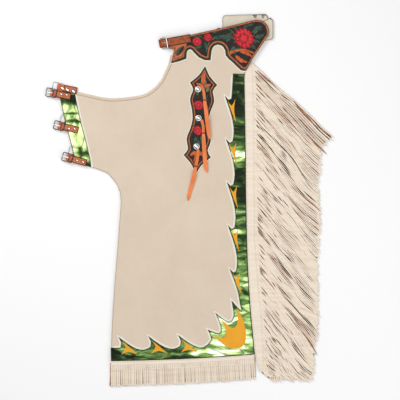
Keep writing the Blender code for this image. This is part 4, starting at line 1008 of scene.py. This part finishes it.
# Thigh straps: folded harness leather with a centre-bar nickel buckle each, riveted to the thigh end.
# Each prong is hinged on its buckle's centre bar. The lower leg's set lies beneath.
RIVETS = [
    # strap, across, up, radius
    ("leg_strap_1", -360.1, 274.8, 2.7), ("leg_strap_1", -346.3, 273.0, 2.7),
    ("leg_strap_2", -340.3, 185.6, 2.7), ("leg_strap_2", -325.5, 184.3, 2.7),
    ("leg_strap_3", -319.5, 102.7, 2.7), ("leg_strap_3", -304.2, 98.3, 2.7),
    ("lower_strap_1", -357.5, 289.9, 4.4), ("lower_strap_1", -344.5, 286.0, 4.4),
    ("lower_strap_1", -328.9, 282.1, 4.4),
]
RIVET_SIDES = 20
# How far a rivet's ring of painted shade reaches past its head.
RIVET_SHADE_RING = 0.9
# The painted edge shade's line on the straps: its inset from the edge and its half width.
EDGE_SHADE_INSET = 0.95
EDGE_SHADE_HALF = 0.9
STRAP_STITCH_HALF = 0.34
WELD_REACH = 0.02
SOLID_ANGLE = 35.0
# The straps that get a painted edge shade and a saddle stitch.
EDGE_SHADED_STRAPS = ["leg_strap_1", "leg_strap_2", "leg_strap_3", "lower_strap_1"]


def kept(name, material, width, segments=3):
    """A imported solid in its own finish, with its split corners welded and its edges rounded."""
    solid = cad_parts[name]
    weld = solid.modifiers.new("weld", "WELD")
    weld.merge_threshold = WELD_REACH * MM
    eased(solid, width, segments, SOLID_ANGLE)
    solid.material_slots[0].link = "OBJECT"
    solid.material_slots[0].material = material


HARNESS = tooling("harness_leather", dyed(210, 120, 72), dyed(168, 84, 46), 0.42, 0.2)
# The thigh buckles' frames are coloured nearly black: a painted dark reflection, standing for the dark
# surroundings the frames reflect.
NICKEL_PAINTED_DARK_REFLECTION = plated("nickel_painted_dark_reflection", dyed(30, 32, 36), dyed(78, 82, 88), 0.24)
BLUED_NICKEL = plated("blued_nickel", dyed(120, 132, 146), dyed(176, 186, 196), 0.26)
for k in range(1, 4):
    kept(f"leg_strap_{k}", HARNESS, 0.35, 2)
    kept(f"lower_strap_{k}", HARNESS, 0.2, 2)
    kept(f"buckle_frame_{k}", NICKEL_PAINTED_DARK_REFLECTION, 0.7)
    kept(f"lower_frame_{k}", BLUED_NICKEL, 0.4)
    kept(f"prong_{k}", NICKEL, 0.5)


def dome(across, up, low, radius, rise, rings=5):
    """A domed rivet head on a thin skirt."""
    leans = [math.pi / 2 * ring / (rings + 0.4) for ring in range(rings + 1)]
    profile = [(radius, low, 0.0)]
    profile += [(radius * math.cos(lean), low + 0.25 + rise * math.sin(lean), 0.0) for lean in leans]
    points, faces = lathed(across, up, profile, RIVET_SIDES)
    faces += [tuple(range(RIVET_SIDES))[::-1], tuple(range(len(points) - RIVET_SIDES, len(points)))]
    return points, faces


# Painted shade: a dark brown for a line just inside each strap's edge, where the edge rounds down, and for a
# ring round each rivet.
EDGE_SHADE_BROWN = smooth_hide("painted_edge_shade", dyed(78, 38, 20), dyed(48, 22, 12), 0.5)
heads = []
for strap, across, up, radius in RIVETS:
    height = shape_under(strap, -1)(np.array([(across, up)]))[0]
    # A wide flat ring under each head: painted shade round the rivet.
    heads.append((*dome(across, up, height - 0.15, radius + RIVET_SHADE_RING, 0.05, rings=2), 1))
    heads.append((*dome(across, up, height - 0.1, radius, radius * 0.32), 0))
stacked("strap_rivets", heads, [NICKEL, EDGE_SHADE_BROWN])


def edge_work(name, nodes, inset):
    """A painted edge shade and a saddle stitch along the upper face of straps, which follow the straps' own
    bends.
    """
    parts = []
    for strap in nodes:
        outline, level = edge_of(strap)[0], shape_under(strap, -1)
        ring = np.array(pulled_in(outline, EDGE_SHADE_INSET))
        path = np.column_stack([ring, level(ring) + 0.02])
        parts.append((*strip(np.vstack([path, path[:1]]), [EDGE_SHADE_HALF] * (len(path) + 1), 0.16, 0.05, 3), 0))
        stitches = sewn(pulled_in(outline, inset), level, STRAP_STITCH_HALF)
        parts += [(points, faces, 1) for points, faces, _ in stitches]
    stacked(name, parts, [EDGE_SHADE_BROWN, BROWN_THREAD])


BROWN_THREAD = thread("brown_thread", (104, 58, 34))
edge_work("strap_edge_work", EDGE_SHADED_STRAPS, 2.4)

# Waist billet: a dark harness strap, doubled round the bar of its nickel buckle, lying over the yoke.
# The buckle is fastened through the billet, so its prong doesn't move.
BILLET_LEATHER = tooling("billet_leather", dyed(172, 86, 40), dyed(120, 52, 22), 0.42, 0.2)
kept("belt_billet", BILLET_LEATHER, 0.4, 2)
edge_work("billet_edge_work", ["belt_billet"], 3.0)
kept("belt_buckle_frame", NICKEL, 0.5)
kept("belt_prong", NICKEL, 0.4)

# Lower leg's belt strap: pale doubled leather with punched holes, behind the yoke, and its keeper tab.
# Only its top edge and its end show past the yoke.
BELT_CELL = 6.0
BELT_TOP = 4.0
TAB_CELL = 5.0
STRIP_TOP, STRIP_LOW = 6.5, 4.3
BELT_CREAM = smooth_hide("belt_cream", dyed(227, 216, 198), dyed(214, 202, 183), 0.6, edge_tone=dyed(112, 102, 90))
lower_belt = hide("lower_belt_hide", edge_of("lower_belt"), BELT_CELL, BELT_TOP, 0.0, BELT_CREAM,
                  0.7)
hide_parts("lower_belt")
belt_tab = cut_for("lower_belt_tab", "lower_belt_tab_hide", TAB_CELL, STRIP_TOP, STRIP_LOW, BELT_CREAM,
                   0.6)
CREAM_THREAD = thread("cream_thread", (216, 200, 178))
seam("lower_belt_stitches", "lower_belt", 3.4, BELT_TOP - 0.04, CREAM_THREAD)

# Side fringe: one long piece of cream suede sewn into the outseam and cut into strands below its strip.
# The strands lie close, down and out, and part here and there over those beneath, whose flesh side is mostly
# darkened to a painted shadow.
SIDE_FRINGE = [
    # up at the root, across at the root, slope below level in degrees, across at the tip
    (358.8, 132.6, 41.8, 351.0), (343.2, 135.5, 44.0, 338.0), (322.4, 137.5, 46.0, 317.0),
    (260.0, 139.1, 48.0, 312.0), (130.0, 140.5, 49.5, 309.4), (-104.0, 143.0, 50.0, 306.8),
    (-208.0, 150.8, 51.0, 303.5), (-286.0, 158.6, 51.5, 293.0), (-390.0, 165.1, 52.5, 282.0),
    (-447.2, 164.5, 54.0, 272.0),
]
ROOT, SLOPE, TIP = 1, 2, 3
SIDE_STRANDS = 150
STRAND_STEP = 6.0
STRAND_THICK = 1.3
UNEVEN_CUT = (-7.5, 2.2)
SHORTEST = 16.0
SLIT_LENGTH = 0.035
UNDER_THICK = 0.7
STRIP_CELL = 6.0
LOWER_STRIP_CELL = 8.0
LOWER_STRIP_TOP = 2.2
FRINGE_FOOT = -473.2
PARTING_WIDTH = 2.1
OVERLAP = -0.15
NARROWEST_PARTING = 0.35
SLITS = [
    # nearest and furthest share along a strand, chance
    (0.05, 0.14, 0.26), (0.1, 0.6, 0.25),
]
TURNED_STRANDS = [
    # finish, then across, up and half width along each strand that lies loose with its flesh side up
    (3, [(149.0, 337.0, 0.8), (163.0, 324.0, 3.0), (186.0, 303.0, 3.4), (210.0, 278.0, 2.2),
         (236.0, 254.0, 1.4), (256.0, 233.0, 0.5)]),
    (3, [(244.0, 257.0, 0.8), (264.0, 231.0, 3.0), (283.0, 211.0, 3.2), (302.0, 192.0, 1.8),
         (324.0, 177.0, 2.4), (344.0, 165.0, 0.4)]),
    (3, [(272.0, 176.0, 0.4), (296.0, 152.0, 1.6), (313.0, 135.0, 2.3), (329.0, 119.0, 0.4)]),
    (2, [(262.0, -280.0, 0.6), (284.0, -291.0, 1.8), (301.0, -298.0, 1.6), (316.0, -303.0, 0.4)]),
    (3, [(262.0, -338.0, 0.5), (280.0, -362.0, 1.8), (293.0, -382.0, 2.2), (303.0, -401.0, 0.4)]),
]


def read_fringe(column, up):
    """A column of the fringe's table at one height on the leg."""
    rows = SIDE_FRINGE[::-1]
    return float(np.interp(up, [row[0] for row in rows], [row[column] for row in rows]))


def fringe_suede(name, pale, dark):
    """Fringe suede, with streaks that run with the cut."""
    material, shader, place = finish_of(name, 0.9, sheen=0.2)
    along_cut = stretched(material, place, (10.0, 120.0, 10.0), 50.0)
    coloured(material, shader, patchy(material, along_cut, 1.0, 0.3, dark, 0.6, pale, 4.0, 0.6))
    grained(material, shader, mottle(material, place, 900.0, 4.0, 0.7), 0.3, 0.0004)
    return material


FRINGE_PALE = fringe_suede("fringe_pale", dyed(244, 230, 212), dyed(234, 219, 200))
FRINGE_WARM = fringe_suede("fringe_warm", dyed(241, 226, 206), dyed(231, 213, 191))
FRINGE_SHADE = fringe_suede("fringe_shade", dyed(234, 218, 199), dyed(220, 201, 180))
FLESH_SIDE = fringe_suede("flesh_side", dyed(176, 124, 92), dyed(112, 70, 46))
# A painted shadow: the darkest flesh brown, for the shade that falls in the partings between strands.
FLESH_PAINTED_SHADOW = fringe_suede("flesh_shadow", dyed(92, 54, 30), dyed(38, 21, 11))
FLESH_WARM = fringe_suede("flesh_warm", dyed(150, 104, 74), dyed(84, 54, 36))
FRINGE_FINISHES = [FRINGE_PALE, FRINGE_WARM, FRINGE_SHADE, FLESH_SIDE, FLESH_PAINTED_SHADOW, FLESH_WARM]


def strand_line(up, reach, heights):
    """The path of a strand from its root, down and out, in space."""
    slope = math.radians(read_fringe(SLOPE, up))
    count = max(4, round(reach / STRAND_STEP))
    path = []
    for k in range(count + 1):
        share = k / count
        along = share * reach
        aside = noise.noise(Vector((up * 0.011, share * 2.2, 0.0))) * 14.0 * share
        aside += noise.noise(Vector((up * 0.03, share * 6.0, 5.0))) * 2.4 * min(1.0, 4 * share)
        height = float(np.interp(share, (0.0, 0.45, 1.0), heights))
        height += 0.35 * noise.noise(Vector((up * 0.09, share * 4.0, 7.0))) * share
        path.append((read_fringe(ROOT, up) + along * math.cos(slope) + aside * math.sin(slope),
                     up - along * math.sin(slope) + aside * math.cos(slope), height))
    return np.array(path)


def strand_reach(up, draw):
    """How long a strand is, to the fringe's outer edge or its foot, with an uneven cut."""
    slope = math.radians(read_fringe(SLOPE, up))
    out = (read_fringe(TIP, up) - read_fringe(ROOT, up)) / math.cos(slope)
    length = min(out, (up - FRINGE_FOOT) / math.sin(slope))
    return max(length + draw.uniform(*UNEVEN_CUT), SHORTEST)


def parted(path, left, right, thick, finish_number, across=5):
    """A strand whose two edges draw in separately, where it leaves a gap beside it."""
    upper, lower = [], []
    for spot, side, a, b in zip(path, sideways(path), left, right):
        shares = np.linspace(-1.0, 1.0, across)
        row = [(*(spot[:2] + side * (a * max(u, 0) + b * min(u, 0))), spot[2] + thick / 2 - 0.5 * abs(u) ** 3)
               for u in shares]
        upper.append(row)
        lower.append([(x, y, z - thick + 0.5 * abs(u) ** 3) for (x, y, z), u in zip(row, shares)])
    return (*slab(upper, lower), finish_number)


def fringe_piece(name, parts):
    """Strands joined as one piece, in the finishes of the fringe."""
    return stacked(name, parts, FRINGE_FINISHES)


draw = random.Random(41)
pitch = (SIDE_FRINGE[0][0] - SIDE_FRINGE[-1][0]) / SIDE_STRANDS
strands, beneath = [], []
gap_before = None
for k in range(SIDE_STRANDS):
    up = SIDE_FRINGE[0][0] - (k + 0.5) * pitch
    reach = strand_reach(up, draw)
    path = strand_line(up, reach, (5.4, 5.0, 4.3))
    half = pitch * math.cos(math.radians(read_fringe(SLOPE, up))) / 2
    shares = np.linspace(0.0, 1.0, len(path))
    loose = 0.65 + 1.4 * max(0.0, noise.noise(Vector((up * 0.02, 3.1, 0.0))) + 0.15)
    gap = np.full(len(path), OVERLAP)
    for _ in range(draw.choice((1, 2, 2, 3, 3))):
        middle, spread = draw.uniform(0.04, 0.96), draw.uniform(0.05, 0.16)
        gap += loose * draw.uniform(0.3, 1.0) * PARTING_WIDTH * np.exp(-((shares - middle) / spread) ** 2)
    for nearest, furthest, chance in SLITS:
        if draw.random() < chance:
            wide = draw.uniform(1.0, 1.6) * PARTING_WIDTH
            gap += wide * np.exp(-((shares - draw.uniform(nearest, furthest)) / SLIT_LENGTH) ** 2)
    gap = np.where(gap < NARROWEST_PARTING, OVERLAP, gap)
    before = gap_before if gap_before is not None else np.full(len(path), OVERLAP)
    before = np.interp(shares, np.linspace(0, 1, len(before)), before)
    path[:, 2] += 0.25 if k % 2 else 0.0
    strands.append(parted(path, np.maximum(half - before / 2, 0.4), np.maximum(half - gap / 2, 0.4),
                          STRAND_THICK, draw.choice((0, 0, 0, 1, 1, 2))))
    gap_before = gap
    # Under every third strand lies a wide strip in flesh browns, most of them the painted shadow, which shows
    # through the partings.
    if k % 3 == 0:
        under_up = up - 1.3 * pitch
        short = (under_up - FRINGE_FOOT) / math.sin(math.radians(read_fringe(SLOPE, under_up))) - 12.0
        under = strand_line(under_up, max(min(reach * 0.97, short), 8.0), (4.4, 3.2, 2.8))
        under[:, 2] -= 0.2 * (k % 2)
        wide = [half * 3.3] * len(under)
        beneath.append(parted(under, wide, wide, UNDER_THICK, draw.choice((4, 4, 4, 5, 3)), 3))
turned = []
for finish_number, rows in TURNED_STRANDS:
    line = bent([(across, up, 6.6 - 0.5 * k) for k, (across, up, half) in enumerate(rows)], 4.0)
    halves = np.interp(np.linspace(0, 1, len(line)), np.linspace(0, 1, len(rows)), [row[2] for row in rows])
    turned.append(parted(line, halves, halves, 1.1, finish_number))
side_strands = fringe_piece("side_fringe_strands", strands)
side_beneath = fringe_piece("side_fringe_beneath", beneath)
side_turned = fringe_piece("side_fringe_turned", turned)
side_strip = cut_for("side_fringe", "side_fringe_strip", STRIP_CELL, STRIP_TOP, STRIP_LOW, FRINGE_PALE,
                     0.4, STRIP_TOP)
lower_strip = cut_for("lower_side_fringe", "lower_side_strip", LOWER_STRIP_CELL, LOWER_STRIP_TOP, 0.0,
                      FRINGE_SHADE, 0.4, LOWER_STRIP_TOP)
strip_seam = seam("side_strip_stitches", "side_fringe", 2.6, STRIP_TOP - 0.04, CREAM_THREAD,
                  STRIP_TOP)

# Hem fringe: the same suede, cut into short straight strands that hang below the hem.
# The lower leg's hem fringe shows only at the left end, where the leg below lies a little out.
HEM_LEFT, HEM_RIGHT = -232.4, 141.7
HEM_LINE = [
    # across, up
    (-231.4, -418.6), (-130.0, -416.0), (0.0, -410.8), (141.7, -400.9),
]
HEM_STRANDS = 72
HEM_LENGTH = 53.0
HEM_STRIP = 12.0
HEM_TUCK = 3.0
HEM_UNDER_THICK = 0.6
HEM_POINTS = 7
draw = random.Random(5)
hem_pitch = (HEM_RIGHT - HEM_LEFT) / HEM_STRANDS
strands, beneath = [], []
for k in range(HEM_STRANDS):
    share = (k + 0.5) / HEM_STRANDS
    x = HEM_RIGHT + (HEM_LEFT - HEM_RIGHT) * share
    top = float(np.interp(x, *zip(*HEM_LINE))) - HEM_STRIP + HEM_TUCK
    reach = HEM_LENGTH + HEM_TUCK + draw.uniform(-2.0, 1.2)
    lean = 0.035 * (1 - share) + draw.uniform(-0.012, 0.012)
    path = np.array([(x + reach * t * lean, top - reach * t,
                      5.5 - 1.5 * t + 0.3 * noise.noise(Vector((k * 0.7, 3 * t, 0))))
                     for t in np.linspace(0.0, 1.0, HEM_POINTS)])
    half = hem_pitch / 2
    gap = 0.36 + 1.2 * draw.random() ** 3 * np.linspace(0.1, 1.0, HEM_POINTS)
    if k % 3 == 1:
        wide = [hem_pitch * 1.7] * HEM_POINTS
        beneath.append(parted(path - np.array([0.0, -3.0, 1.7]), wide, wide, HEM_UNDER_THICK,
                              draw.choice((3, 3, 5)), 3))
    strands.append(parted(path, [half - 0.1] * HEM_POINTS, np.maximum(half - gap, 0.8), STRAND_THICK,
                          draw.choice((0, 0, 1, 1, 1))))
hem_beneath = fringe_piece("hem_fringe_beneath", beneath)
hem_strands = fringe_piece("hem_fringe_strands", strands)
hem_strip = cut_for("hem_fringe", "hem_fringe_strip", STRIP_CELL, STRIP_TOP, STRIP_LOW, FRINGE_PALE,
                    0.4, STRIP_TOP)
hem_seam = seam("hem_strip_stitches", "hem_fringe", SEAM_INSET, STRIP_TOP - 0.04, CREAM_THREAD,
                STRIP_TOP)
kept("lower_hem_fringe", FLESH_SIDE, 0.2, 1)
